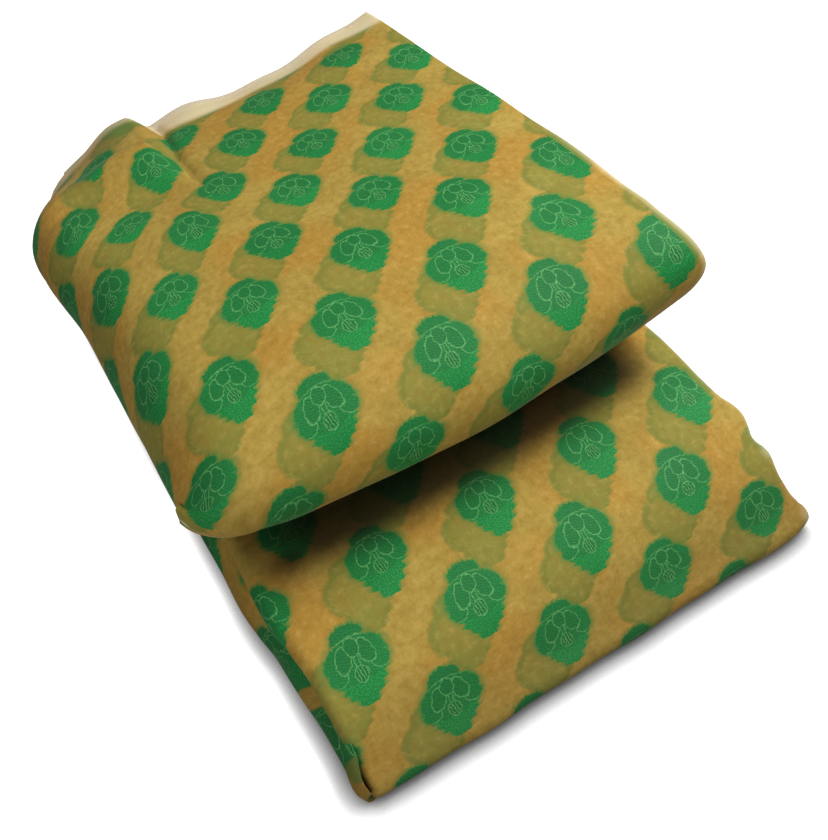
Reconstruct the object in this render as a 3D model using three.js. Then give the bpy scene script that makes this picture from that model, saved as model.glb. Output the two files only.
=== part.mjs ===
// A length of sheer figured cloth, folded to a quarter of its width and then
// lapped back and forth into two soft bundles, the upper one lying on the
// lower one and set back from its front.
//
// The cloth is one strip with one section from end to end: it starts inside
// the lower bundle, runs down to the table, round the lower front, back over
// the lower top, up into the upper bundle, round the big soft front of that
// one, back over the top, and down in laps to its other end.
//
// x runs across the strip, left to right; y runs front to back; z is up from
// the table. Sizes are millimetres.
import * as THREE from "three";

// ---------------------------------------------------------------- sizes
const LAYER = 2.6;           // the four plies of the folded width, with their air
const HALF = LAYER / 2;
const AIR = 1.6;             // least air between the two bundles
const LOWER_LAPS = 6;        // laps inside the lower bundle
const UPPER_LAPS = 12;       // laps inside the upper bundle

const COLUMNS = { left: 28, middle: 131, right: 234 };   // where heights are given

// Height of the lower bundle's top above the table, front to back.
const LOWER_TOP = [
  { y: -99, left: 11, middle: 12, right: 12 },
  { y: -92, left: 15, middle: 16, right: 17 },
  { y: -78, left: 26, middle: 27, right: 28 },
  { y: -63, left: 33, middle: 35, right: 37 },
  { y: -46, left: 36.5, middle: 39, right: 43 },
  { y: -29, left: 38, middle: 41, right: 46 },
  { y: 20, left: 38.5, middle: 42, right: 47 },
  { y: 285, left: 39, middle: 42, right: 47 },
];
const LOWER_LEVEL_FROM = -29;    // behind this the lower bundle is level

// Height of the upper bundle's top, front to back, once over its front curve.
const UPPER_TOP = [
  { y: 34, left: 117, middle: 120.5, right: 123 },
  { y: 68, left: 119, middle: 122.5, right: 125.5 },
  { y: 104, left: 118, middle: 121.5, right: 126 },
  { y: 140, left: 116.5, middle: 119.5, right: 126.5 },
  { y: 175, left: 114.5, middle: 118, right: 126.5 },
  { y: 210, left: 112.5, middle: 117, right: 126.5 },
  { y: 245, left: 107, middle: 114.5, right: 126 },
  { y: 286, left: 96.5, middle: 107, right: 124 },
];

// Soft hollows and swellings of the upper top.
const DENTS = [
  { name: "back left hollow", x: 52, y: 196, wide: 30, deep: 20, lift: -2.6 },
  { name: "back left swelling", x: 30, y: 232, wide: 26, deep: 18, lift: 2.4 },
  { name: "back edge swelling", x: 96, y: 286, wide: 26, deep: 26, lift: 4.5 },
  { name: "back edge hollow", x: 158, y: 286, wide: 34, deep: 28, lift: -3.5 },
  { name: "front left swelling", x: 66, y: 46, wide: 38, deep: 30, lift: 1.6 },
  { name: "middle hollow", x: 120, y: 120, wide: 44, deep: 34, lift: -1.2 },
  { name: "right swelling", x: 196, y: 150, wide: 40, deep: 46, lift: 1.2 },
];

// Front edge of the lower bundle on the table. The heights of LOWER_TOP hold
// for a front at straight, and move with the edge between movedFrom and movedTo.
const LOWER_FRONT = { left: -99.5, right: -107, straight: -104, movedFrom: 20, movedTo: 90 };
const LOWER_CORNER = { from: 226, to: 240, back: 3 };    // right front corner, rounded in plan
const FRONT_TURN = 5.5;          // the turn of the lower front starts this far back
const LOWER_BACK = 276;

// Upper front: a soft bullnose, seen from the side an oval about NOSE_CENTRE.
// lean carries its top further forward than its foot; a curve under 1 makes
// it fuller than an ellipse.
const NOSE_CENTRE = 34;
const NOSE_REACH = [
  { x: -12, reach: 39, lean: 21, curve: 1 },
  { x: 28, reach: 46, lean: 13, curve: 1 },
  { x: 60, reach: 50, lean: 8, curve: 1 },
  { x: 131, reach: 54, lean: 2, curve: 0.95 },
  { x: 190, reach: 52, lean: 9, curve: 0.8 },
  { x: 234, reach: 47, lean: 19, curve: 0.55 },
];
const UPPER_BACK = 286;
const BACK_CORNER = { from: 40, to: -30, rounded: 23, drawnIn: 13 };   // left back corner, in plan
const LAP_BACK = 273;
const CORNER_SPREADS_FROM = 150;  // the back corner is rounded off from here to the back edge
const LOWER_LAP_LEFT = { front: 12, back: 4 };            // left ends of the lower laps

// Left side of the outer layer of each bundle, going round its section.
// face: where the side faces; radius: of the turn over the shoulder;
// wrap: length of cloth beyond the shoulder.
const SIDE = {
  tableBack: { face: -6, radius: 3, wrap: 3 },
  table: { face: -8, radius: 11, wrap: 27 },
  tableMiddle: { face: 1, radius: 10, wrap: 22 },
  tableFront: { face: 4, radius: 4, wrap: 5 },
  lowerFront: { face: 5.5, radius: 3, wrap: 3 },
  lowerTop: { face: 1, radius: 3, wrap: 4 },
  lowerBack: { face: -4, radius: 3, wrap: 2.5 },
  underside: { face: -4, radius: 3, wrap: 2.5 },
};
const NOSE_SIDE = [
  { turn: -90, face: -4, radius: 4, wrap: 3 },
  { turn: -62, face: -7, radius: 18, wrap: 16 },
  { turn: -35, face: -10, radius: 24, wrap: 24 },
  { turn: -5, face: -11, radius: 26, wrap: 29 },
  { turn: 20, face: -10, radius: 28, wrap: 31 },
  { turn: 50, face: -9, radius: 34, wrap: 43 },
  { turn: 90, face: -9, radius: 37, wrap: 70 },
];
const TOP_SIDES = [
  { y: 34, face: -9, radius: 37, wrap: 70 },
  { y: 90, face: -10, radius: 37, wrap: 94 },
  { y: 150, face: -10.5, radius: 37, wrap: 94 },
  { y: 200, face: -12.5, radius: 37, wrap: 92 },
  { y: 242, face: -17, radius: 38, wrap: 84 },
  { y: 268, face: -12, radius: 38, wrap: 50 },
  { y: 286, face: -33, radius: 62, wrap: 14 },
];
const INNER_FACE = -10;          // the inner laps stop inside this plane
const LEFT_STRIP = { lower: 7, upper: 34 };   // width of a lap held by its left columns

const RIGHT_EDGE = [
  { y: -106, lower: 240.5, upper: 234 },
  { y: -60, lower: 238.5, upper: 234 },
  { y: -20, lower: 238, upper: 234 },
  { y: 34, lower: 240, upper: 234 },
  { y: 120, lower: 242, upper: 231.5 },
  { y: 200, lower: 243, upper: 232 },
  { y: 286, lower: 243, upper: 237 },
];

const FOLD_BULGE = { least: 4, most: 4.6 };

// How far the inner laps stay clear of the outer layer.
const CLEAR = { nose: LAYER + 2.4, slope: LAYER + 2.2, side: LAYER + 2.2 };
const SLOPE_SEARCH = { from: 14, to: 40, step: 0.5 };    // where a lap may meet the lower slope

// How far each lap stops short of its bundle's edges, and how much that varies.
const LOWER_LAP_SHORT = { right: 4, back: 3, last: 2, variesRight: 3, variesLeft: 2, variesBack: 4 };
const UPPER_LAP_SHORT = {
  right: 1.5,
  front: 4,
  last: 1,
  variesRight: 2.2,
  variesLeft: 1.5,
  variesFront: 1.5,
  variesBack: 4,
};
const COVER_SHORT = 1;           // the top of each bundle stops this far inside its right edge

// The left side changes from one form to the next over these lengths.
const TABLE_SIDE = { from: -50, over: 110 };
const LOWER_SIDE = { front: -97, frontOver: 60, backOver: 150 };

// How finely each stretch is divided.
const ACROSS_FLAT = 7;
const ACROSS_SIDE = 6;
const FOLD_STEPS = 3;
const FRONT_STEPS = 4;
const NOSE_TURNS = [-90, -72, -56, -40, -22, -2, 18, 38, 56, 73, 90];
const LAP_Y = [60, 150, 225];
const LOWER_LAP_FRONT_Y = -60;
const FIRST_LAP_LAST_Y = 262;
const TABLE_Y = [250, 180, 60, -50];
const LOWER_TOP_Y = [-92, -78, -63, -46, -29, -5, 60, 170];
const UNDERSIDE_Y = [200, 110];
const TOP_Y = [52, 72, 95, 118, 141, 164, 187, 208, 229, 249, 268];

const CLOTH = new THREE.MeshStandardMaterial({
  name: "tan_green_sheer",
  color: 0xbd9146,
  roughness: 0.72,
  metalness: 0.0,
});

// ---------------------------------------------------------------- helpers
const { lerp, clamp, degToRad, smoothstep } = THREE.MathUtils;

// Smooth curve through one column of a table, read at a place along its key.
function along(table, key, column, at) {
  const last = table.length - 1;
  const place = clamp(at, table[0][key], table[last][key]);
  let i = 0;
  while (i < last - 1 && place > table[i + 1][key]) i += 1;
  const here = table[i];
  const next = table[i + 1];
  const before = table[Math.max(i - 1, 0)];
  const after = table[Math.min(i + 2, last)];
  const span = next[key] - here[key];
  const t = (place - here[key]) / span;
  const slopeHere = (next[column] - before[column]) / (next[key] - before[key]);
  const slopeNext = (after[column] - here[column]) / (after[key] - here[key]);
  const t2 = t * t;
  const t3 = t2 * t;
  return (2 * t3 - 3 * t2 + 1) * here[column] + (t3 - 2 * t2 + t) * span * slopeHere
    + (3 * t2 - 2 * t3) * next[column] + (t3 - t2) * span * slopeNext;
}

// Height at x, y from a table with left, middle and right columns.
function heightFrom(table, x, y) {
  const left = along(table, "y", "left", y);
  const middle = along(table, "y", "middle", y);
  const right = along(table, "y", "right", y);
  const half = (COLUMNS.right - COLUMNS.left) / 2;
  const u = clamp((x - COLUMNS.middle) / half, -1.15, 1.15);
  return middle + u * (right - left) / 2 + u * u * (left + right - 2 * middle) / 2;
}

function dentsAt(x, y) {
  let lift = 0;
  for (const dent of DENTS) {
    const across = (x - dent.x) / dent.wide;
    const back = (y - dent.y) / dent.deep;
    lift += dent.lift * Math.exp(-across * across - back * back);
  }
  return lift;
}

// ------------------------------------------------- middle of each layer
function lowerFrontAt(x) {
  const t = x / COLUMNS.right;
  const corner = clamp((x - LOWER_CORNER.from) / (LOWER_CORNER.to - LOWER_CORNER.from), 0, 1.2);
  return lerp(LOWER_FRONT.left, LOWER_FRONT.right, t) + LOWER_CORNER.back * corner * corner;
}

function lowerTopAt(x, y) {
  const moved = smoothstep(-y, LOWER_FRONT.movedFrom, LOWER_FRONT.movedTo);
  const pushed = y - (lowerFrontAt(x) - LOWER_FRONT.straight) * moved;
  return heightFrom(LOWER_TOP, x, pushed) - HALF;
}

function lowerLapAt(lap, x, y) {
  const top = lowerTopAt(x, Math.max(y, LOWER_LEVEL_FROM));
  return lerp(HALF, top, lap / (LOWER_LAPS + 1));
}

function undersideAt(x, y) {
  return lowerTopAt(x, Math.max(y, LOWER_LEVEL_FROM)) + LAYER + AIR;
}

function upperTopAt(x, y) {
  return heightFrom(UPPER_TOP, x, y) + dentsAt(x, y) - HALF;
}

function upperLapAt(lap, x, y) {
  const deep = Math.max(y, NOSE_CENTRE);
  return lerp(upperTopAt(x, deep), undersideAt(x, deep), lap / (UPPER_LAPS + 1));
}

// How far the upper front stands before NOSE_CENTRE at a height given from
// -1, its foot, to 1, its top. thinner draws it in all round.
function noseReach(x, height, thinner) {
  const reach = along(NOSE_REACH, "x", "reach", x) + along(NOSE_REACH, "x", "lean", x) * height;
  const curve = along(NOSE_REACH, "x", "curve", x);
  return (reach - thinner) * Math.max(1 - height * height, 0) ** (curve / 2);
}

function noseAt(x, turn) {
  const height = Math.sin(degToRad(turn));
  const top = upperTopAt(x, NOSE_CENTRE);
  const bottom = undersideAt(x, NOSE_CENTRE);
  return {
    y: NOSE_CENTRE - noseReach(x, height, 0),
    z: (top + bottom) / 2 + (top - bottom) / 2 * height,
  };
}

// How far forward a lap of the upper bundle may reach inside the front curve.
function upperLapFront(lap, x) {
  const top = upperTopAt(x, NOSE_CENTRE);
  const bottom = undersideAt(x, NOSE_CENTRE);
  const half = (top - bottom) / 2 - CLEAR.nose;
  const height = (upperLapAt(lap, x, NOSE_CENTRE) - (top + bottom) / 2) / half;
  return NOSE_CENTRE - noseReach(x, clamp(height, -1, 1), CLEAR.nose);
}

// A lap of the lower bundle stops where the sloping front comes down to it.
function lowerLapFront(lap, x) {
  const ceiling = lowerLapAt(lap, x, 0) + CLEAR.slope;
  let y = lowerFrontAt(x) + SLOPE_SEARCH.from;
  while (lowerTopAt(x, y) < ceiling && y < SLOPE_SEARCH.to) y += SLOPE_SEARCH.step;
  return y;
}

// How far the left back corner is rounded off at a place on the cloth.
function cornerRounding(x) {
  return BACK_CORNER.rounded * smoothstep(-x, -BACK_CORNER.from, -BACK_CORNER.to);
}

function rightEdgeUpper(y) {
  return along(RIGHT_EDGE, "y", "upper", y);
}

function rightEdgeLower(y) {
  return along(RIGHT_EDGE, "y", "lower", y);
}

// Left end of an inner lap: clear of the rounded side of the outer layer.
function innerLeftUpper(y, z) {
  const round = NOSE_SIDE[NOSE_SIDE.length - 1].radius - CLEAR.side;
  const x = COLUMNS.left;
  const top = upperTopAt(x, Math.max(y, NOSE_CENTRE));
  const bottom = undersideAt(x, Math.max(y, NOSE_CENTRE));
  const half = (top - bottom) / 2;
  const height = (z - (top + bottom) / 2) / half;
  const rise = height > 0 || y < NOSE_CENTRE ? Math.abs(height) : 0;
  const forward = Math.max(NOSE_CENTRE - y, 0) / along(NOSE_REACH, "x", "reach", x);
  const depth = clamp(half * (1 - Math.hypot(rise, forward)) - CLEAR.side, 0, round);
  const inset = round - Math.sqrt(round * round - (round - depth) * (round - depth));
  return INNER_FACE + CLEAR.side + inset;
}

// ------------------------------------------------- rows of the strip
// A row is one line of points across the strip, from its right edge to its
// left edge.
function flatRow(place, right, left, strip) {
  const row = [];
  const shoulder = left + strip;
  for (let i = 0; i <= ACROSS_FLAT; i += 1) {
    row.push(lerp(right, shoulder, i / ACROSS_FLAT));
  }
  for (let i = 1; i <= ACROSS_SIDE; i += 1) {
    row.push(lerp(shoulder, left, i / ACROSS_SIDE));
  }
  return row.map((x) => {
    const at = place(x);
    return new THREE.Vector3(x, at.y, at.z);
  });
}

// A row of an outer layer: flat to the shoulder, then turned in round the
// side. outward gives the way the layer faces, in the y z plane; slide, how
// far back the row lies at each place on the cloth.
function coverRow(place, outward, right, side, slide = () => 0) {
  const row = [];
  const shoulder = side.face + side.radius;
  for (let i = 0; i <= ACROSS_FLAT; i += 1) {
    const x = lerp(right, shoulder, i / ACROSS_FLAT);
    const at = place(x);
    row.push(new THREE.Vector3(x, at.y, at.z));
  }
  const at = place(shoulder);
  const out = outward(shoulder);
  for (let i = 1; i <= ACROSS_SIDE; i += 1) {
    const run = side.wrap * i / ACROSS_SIDE;
    const angle = Math.min(run / side.radius, Math.PI / 2);
    const straight = run - angle * side.radius;
    const sunk = side.radius * (1 - Math.cos(angle)) + straight;
    row.push(new THREE.Vector3(
      shoulder - side.radius * Math.sin(angle),
      at.y - out.y * sunk + slide(shoulder - run) - slide(shoulder),
      at.z - out.z * sunk,
    ));
  }
  return row;
}

// Rows that carry the strip round a fold, from one row to another. toward is
// +1 for a fold at the back, -1 for one at the front.
function foldRows(from, to, toward, steps) {
  const rows = [];
  for (let i = 1; i < steps; i += 1) {
    const angle = Math.PI * i / steps;
    const part = (1 - Math.cos(angle)) / 2;
    rows.push(from.map((start, j) => {
      const bulge = clamp(Math.abs(to[j].z - start.z) / 2, FOLD_BULGE.least, FOLD_BULGE.most);
      const point = start.clone().lerp(to[j], part);
      point.y += toward * bulge * Math.sin(angle);
      return point;
    }));
  }
  return rows;
}

const UP = () => ({ y: 0, z: 1 });
const DOWN = () => ({ y: 0, z: -1 });

function mixSides(a, b, t) {
  return {
    face: lerp(a.face, b.face, t),
    radius: lerp(a.radius, b.radius, t),
    wrap: lerp(a.wrap, b.wrap, t),
  };
}

function sideFrom(table, key, at) {
  const read = (column) => along(table, key, column, at);
  return { face: read("face"), radius: read("radius"), wrap: read("wrap") };
}

function noseOutward(x, turn) {
  const before = noseAt(x, Math.max(turn - 2, -90));
  const after = noseAt(x, Math.min(turn + 2, 90));
  const dy = after.y - before.y;
  const dz = after.z - before.z;
  const length = Math.hypot(dy, dz);
  return { y: -dz / length, z: dy / length };
}

// Small differences from lap to lap, so that no two edges lie alike.
function uneven(lap, most) {
  return most * Math.sin(2.3 * lap + 0.7) * Math.cos(0.9 * lap);
}

// The laps of the lower bundle pair up at the front as 1 and 2, 3 and 4, and
// at the back as 2 and 3, 4 and 5, and the first with the layer on the table.
function lowerLapRows(lap) {
  const frontPair = Math.ceil(lap / 2);
  const backPair = Math.floor(lap / 2);
  const short = LOWER_LAP_SHORT;
  const right = (y) => rightEdgeLower(y) - short.right + uneven(lap, short.variesRight);
  const left = LOWER_LAP_LEFT.back + uneven(lap + 2, short.variesLeft);
  const frontLeft = left + LOWER_LAP_LEFT.front - LOWER_LAP_LEFT.back;
  const lapBack = LAP_BACK - short.back + uneven(backPair, short.variesBack);
  const back = backPair === 0 ? LOWER_BACK - short.last : lapBack;
  const frontPlace = (x) => {
    const y = lowerLapFront(2 * frontPair, x);
    return { y, z: lowerLapAt(lap, x, y) };
  };
  const rows = [flatRow(frontPlace, right(LOWER_LAP_FRONT_Y), frontLeft, LEFT_STRIP.lower)];
  for (const y of [...LAP_Y, back]) {
    rows.push(flatRow((x) => ({ y, z: lowerLapAt(lap, x, y) }), right(y), left, LEFT_STRIP.lower));
  }
  return rows;
}

// The laps of the upper bundle pair up at the front as 1 and 2, 3 and 4, and
// at the back as 2 and 3, 4 and 5.
function upperLapRows(lap) {
  const frontPair = Math.ceil(lap / 2);
  const backPair = Math.floor(lap / 2);
  const short = UPPER_LAP_SHORT;
  const frontAt = (x) => {
    const nearer = Math.max(upperLapFront(2 * frontPair - 1, x), upperLapFront(2 * frontPair, x));
    return nearer + short.front + uneven(frontPair, short.variesFront);
  };
  const lapBack = LAP_BACK + uneven(backPair, short.variesBack);
  const back = backPair === 0 ? UPPER_BACK - short.last : lapBack;
  const rows = [];
  const backAt = (x) => back - cornerRounding(x);
  const between = backPair === 0 ? [...LAP_Y, FIRST_LAP_LAST_Y] : LAP_Y;
  for (const lineAt of [frontAt, ...between.map((y) => () => y), backAt]) {
    const place = (x) => {
      const at = lineAt(x);
      return { y: at, z: upperLapAt(lap, x, at) };
    };
    const probe = place(COLUMNS.left);
    const drawnIn = lineAt === backAt ? BACK_CORNER.drawnIn : 0;
    const varies = Math.abs(uneven(lap, short.variesLeft));
    const left = innerLeftUpper(probe.y, probe.z) + varies + drawnIn;
    const right = rightEdgeUpper(probe.y) - short.right + uneven(lap, short.variesRight);
    rows.push(flatRow(place, right, left, LEFT_STRIP.upper));
  }
  if (backPair === 0) {
    const place = (x) => ({ y: backAt(x), z: upperLapAt(lap, x, backAt(x)) });
    const slide = (x) => -cornerRounding(x);
    const right = rightEdgeUpper(back) - COVER_SHORT;
    rows[rows.length - 1] = coverRow(place, UP, right, sideFrom(TOP_SIDES, "y", back), slide);
  }
  return rows;
}

// ------------------------------------------------- the whole strip
function stripRows() {
  const rows = [];
  const push = (more) => rows.push(...more);
  const foldTo = (more, toward, steps = FOLD_STEPS) => {
    push(foldRows(rows[rows.length - 1], more[0], toward, steps));
    push(more);
  };

  // Laps inside the lower bundle, top to bottom.
  push(lowerLapRows(LOWER_LAPS).reverse());
  for (let lap = LOWER_LAPS - 1; lap >= 1; lap -= 1) {
    const goesForward = lap % 2 === 0;
    const lapRows = lowerLapRows(lap);
    foldTo(goesForward ? lapRows.reverse() : lapRows, goesForward ? 1 : -1);
  }

  // Along the table to the front.
  const table = [LOWER_BACK, ...TABLE_Y, null].map((y) => {
    const place = (x) => ({ y: y === null ? lowerFrontAt(x) + FRONT_TURN : y, z: HALF });
    const at = y === null ? LOWER_TOP[0].y : y;
    const part = clamp((at - TABLE_SIDE.from) / TABLE_SIDE.over, 0, 1);
    let side = mixSides(SIDE.tableMiddle, SIDE.table, part);
    if (at < TABLE_Y[TABLE_Y.length - 1]) side = SIDE.tableFront;
    if (at === LOWER_BACK) side = SIDE.tableBack;
    return coverRow(place, DOWN, rightEdgeLower(at), side);
  });
  foldTo(table, 1);

  // Round the lower front and back over the lower top.
  const lowerTop = [null, ...LOWER_TOP_Y, LOWER_BACK].map((y) => {
    const place = (x) => {
      const at = y === null ? lowerFrontAt(x) + FRONT_TURN : y;
      return { y: at, z: lowerTopAt(x, at) };
    };
    const at = y === null ? LOWER_SIDE.front : y;
    const fromFront = clamp((at - LOWER_SIDE.front) / LOWER_SIDE.frontOver, 0, 1);
    const toBack = clamp(at / LOWER_SIDE.backOver, 0, 1);
    const side = at < 0
      ? mixSides(SIDE.lowerFront, SIDE.lowerTop, fromFront)
      : mixSides(SIDE.lowerTop, SIDE.lowerBack, toBack);
    return coverRow(place, UP, rightEdgeLower(at) - COVER_SHORT, side);
  });
  foldTo(lowerTop, -1, FRONT_STEPS);

  // Up at the back and forward again under the upper bundle.
  const underside = [LOWER_BACK, ...UNDERSIDE_Y].map((y) => (
    coverRow((x) => ({ y, z: undersideAt(x, y) }), DOWN, rightEdgeUpper(y), SIDE.underside)
  ));
  foldTo(underside, 1);

  // Round the upper front.
  for (const turn of NOSE_TURNS) {
    const place = (x) => noseAt(x, turn);
    const outward = (x) => noseOutward(x, turn);
    rows.push(coverRow(place, outward, rightEdgeUpper(NOSE_CENTRE), sideFrom(NOSE_SIDE, "turn", turn)));
  }

  // Back over the top.
  for (const y of [...TOP_Y, UPPER_BACK]) {
    const side = sideFrom(TOP_SIDES, "y", y);
    const slide = (x) => -cornerRounding(x) * smoothstep(y, CORNER_SPREADS_FROM, UPPER_BACK);
    const place = (x) => {
      const at = y + slide(x);
      return { y: at, z: upperTopAt(x, at) };
    };
    rows.push(coverRow(place, UP, rightEdgeUpper(y), side, slide));
  }

  // Down in laps inside the upper bundle.
  for (let lap = 1; lap <= UPPER_LAPS; lap += 1) {
    const goesForward = lap % 2 === 1;
    const lapRows = upperLapRows(lap);
    foldTo(goesForward ? lapRows.reverse() : lapRows, goesForward ? 1 : -1);
  }
  return rows;
}

// ------------------------------------------------- thicken into one solid
function solidFromRows(rows) {
  const across = rows[0].length;
  const face = [[], []];
  for (let i = 0; i < rows.length; i += 1) {
    const before = rows[Math.max(i - 1, 0)];
    const after = rows[Math.min(i + 1, rows.length - 1)];
    for (let j = 0; j < across; j += 1) {
      const alongStrip = after[j].clone().sub(before[j]);
      const toLeft = rows[i][Math.min(j + 1, across - 1)];
      const toRight = rows[i][Math.max(j - 1, 0)];
      const acrossStrip = toLeft.clone().sub(toRight);
      const normal = alongStrip.cross(acrossStrip).normalize().multiplyScalar(HALF);
      face[0].push(rows[i][j].clone().add(normal));
      face[1].push(rows[i][j].clone().sub(normal));
    }
  }
  const points = [...face[0], ...face[1]];
  const shift = face[0].length;
  const at = (side, i, j) => side * shift + i * across + j;
  const index = [];
  const quad = (a, b, c, d) => index.push(a, b, c, a, c, d);
  const lastRow = rows.length - 1;
  const lastColumn = across - 1;
  for (let i = 0; i < lastRow; i += 1) {
    for (let j = 0; j < lastColumn; j += 1) {
      quad(at(0, i, j), at(0, i + 1, j), at(0, i + 1, j + 1), at(0, i, j + 1));
      quad(at(1, i, j), at(1, i, j + 1), at(1, i + 1, j + 1), at(1, i + 1, j));
    }
    quad(at(0, i, 0), at(1, i, 0), at(1, i + 1, 0), at(0, i + 1, 0));
    quad(at(0, i, lastColumn), at(0, i + 1, lastColumn), at(1, i + 1, lastColumn), at(1, i, lastColumn));
  }
  for (let j = 0; j < lastColumn; j += 1) {
    quad(at(0, 0, j), at(0, 0, j + 1), at(1, 0, j + 1), at(1, 0, j));
    quad(at(0, lastRow, j), at(1, lastRow, j), at(1, lastRow, j + 1), at(0, lastRow, j + 1));
  }
  const geometry = new THREE.BufferGeometry();
  const numbers = points.flatMap((p) => [p.x, p.y, p.z]);
  geometry.setAttribute("position", new THREE.Float32BufferAttribute(numbers, 3));
  geometry.setIndex(index);
  geometry.computeVertexNormals();
  return geometry;
}

// The cloth stands with the middle of its footprint at the origin.
const fabricGeometry = solidFromRows(stripRows());
fabricGeometry.computeBoundingBox();
const footprint = fabricGeometry.boundingBox;
fabricGeometry.translate(
  -(footprint.min.x + footprint.max.x) / 2,
  -(footprint.min.y + footprint.max.y) / 2,
  -footprint.min.z,
);

const fabric = new THREE.Mesh(fabricGeometry, CLOTH);
fabric.name = "fabric";

const product = new THREE.Group();
product.name = "folded_fabric";
product.add(fabric);

export default product;
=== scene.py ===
import math

import bpy
import numpy as np
from bpy.props import FloatProperty, FloatVectorProperty, PointerProperty
from mathutils import Matrix, Vector


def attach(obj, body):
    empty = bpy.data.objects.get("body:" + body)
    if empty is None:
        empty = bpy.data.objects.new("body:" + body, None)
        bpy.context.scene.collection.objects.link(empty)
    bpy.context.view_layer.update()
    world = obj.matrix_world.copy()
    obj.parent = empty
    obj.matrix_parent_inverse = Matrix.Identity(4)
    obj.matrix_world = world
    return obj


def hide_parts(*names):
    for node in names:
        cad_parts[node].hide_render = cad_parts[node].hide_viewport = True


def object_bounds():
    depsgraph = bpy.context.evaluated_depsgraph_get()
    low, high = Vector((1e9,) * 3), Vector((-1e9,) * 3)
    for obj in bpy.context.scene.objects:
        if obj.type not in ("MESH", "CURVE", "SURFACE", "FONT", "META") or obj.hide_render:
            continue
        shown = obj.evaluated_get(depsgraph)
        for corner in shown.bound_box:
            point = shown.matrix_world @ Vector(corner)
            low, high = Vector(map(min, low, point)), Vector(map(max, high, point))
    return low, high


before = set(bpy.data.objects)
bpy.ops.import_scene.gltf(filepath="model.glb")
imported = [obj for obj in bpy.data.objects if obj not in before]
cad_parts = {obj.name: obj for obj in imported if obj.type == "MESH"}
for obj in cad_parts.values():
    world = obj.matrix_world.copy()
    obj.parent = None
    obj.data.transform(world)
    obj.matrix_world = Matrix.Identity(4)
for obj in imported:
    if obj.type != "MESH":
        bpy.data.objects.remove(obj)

bl_info = {
    "name": "Folded Banarasi Fabric",
    "version": (1, 0, 0),
    "blender": (4, 5, 0),
    "location": "View3D > Sidebar > Fabric",
    "description": "A length of sheer figured cloth, lapped into two soft bundles",
    "category": "Add Mesh",
}

# The cloth lies in its own layout, in millimetres: x across the strip, y from
# front to back, z up from the table. The frame has the middle of the same
# footprint at its origin.
CAD_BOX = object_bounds()
LAYOUT_MIDDLE = (112.77, 91.89)
MM = 0.001

# ------------------------------------------------------------------ sizes
# A pair of numbers that a rise or a fall runs over is (start, end).
LAYER = 2.6                      # thickness of a cover or a lap: its plies and their air
HALF = LAYER / 2
AIR = 1.6                        # between the two bundles
LOWER_LAPS = 6
UPPER_LAPS = 12
COLUMN_LEFT, COLUMN_MIDDLE, COLUMN_RIGHT = 28.0, 131.0, 234.0    # where heights are given
COLUMN_REACH = 1.15              # heights are held this far out, in half widths

LOWER_TOP = {
    "y": (-99, -92, -78, -63, -46, -29, 20, 285),
    "left": (11, 15, 26, 33, 36.5, 38, 38.5, 39),
    "middle": (12, 16, 27, 35, 39, 41, 42, 42),
    "right": (12, 17, 28, 37, 43, 46, 47, 47),
}
LOWER_LEVEL_FROM = -29.0         # behind this the lower bundle is level

UPPER_TOP = {
    "y": (34, 68, 104, 140, 175, 210, 245, 286),
    "left": (117, 119, 118, 116.5, 114.5, 112.5, 107, 96.5),
    "middle": (120.5, 122.5, 121.5, 119.5, 118, 117, 114.5, 107),
    "right": (123, 125.5, 126, 126.5, 126.5, 126.5, 126, 124),
}

# Soft hollows and swellings of the upper top: x, y, wide, deep, lift.
DENTS = (
    (52, 196, 30, 20, -2.6),
    (30, 232, 26, 18, 2.4),
    (96, 286, 26, 26, 4.5),
    (158, 286, 34, 28, -3.5),
    (66, 46, 38, 30, 1.6),
    (120, 120, 44, 34, -1.2),
    (196, 150, 40, 46, 1.2),
)

# Front edge of the lower bundle. The heights of LOWER_TOP hold for a straight
# front, and move with the edge over FRONT_MOVES.
FRONT_LEFT, FRONT_RIGHT, FRONT_STRAIGHT = -99.5, -107.0, -104.0
FRONT_MOVES = (20, 90)
FRONT_RIPPLE = ((0.35, 12.5, 0), (0.25, 6.1, 1))    # height, length and start of each wave
FRONT_CORNER_FROM, FRONT_CORNER_TO, FRONT_CORNER_BACK = 226.0, 240.0, 3.0
FRONT_CORNER_MOST = 1.2          # the corner draws back this far on, as a share of its run
FRONT_TURN = 5.5                 # the turn of the front starts this far back
FRONT_BULGE = 5.2                # and reaches this far forward
FRONT_TURN_RIGHT = 239.5
LOWER_BACK = 276.0

# Upper front: an oval about NOSE_CENTRE, seen from the side. lean carries its
# top further forward than its foot; a curve under 1 makes it fuller.
NOSE_CENTRE = 34.0
NOSE_REACH = {
    "x": (-12, 28, 60, 131, 190, 234),
    "reach": (39, 45, 48, 51, 49.5, 46),
    "lean": (21, 15, 11, 7, 12, 22),
    "curve": (1, 1, 1, 0.95, 0.8, 0.45),
}
UPPER_BACK = 286.0
CORNER_FROM, CORNER_TO, CORNER_ROUNDED = 40.0, -30.0, 23.0    # left back corner, in plan
CORNER_SPREADS_FROM = 150        # behind this the rows bend forward toward that corner
LAP_BACK = 273.0                 # where the laps fold at the back

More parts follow.
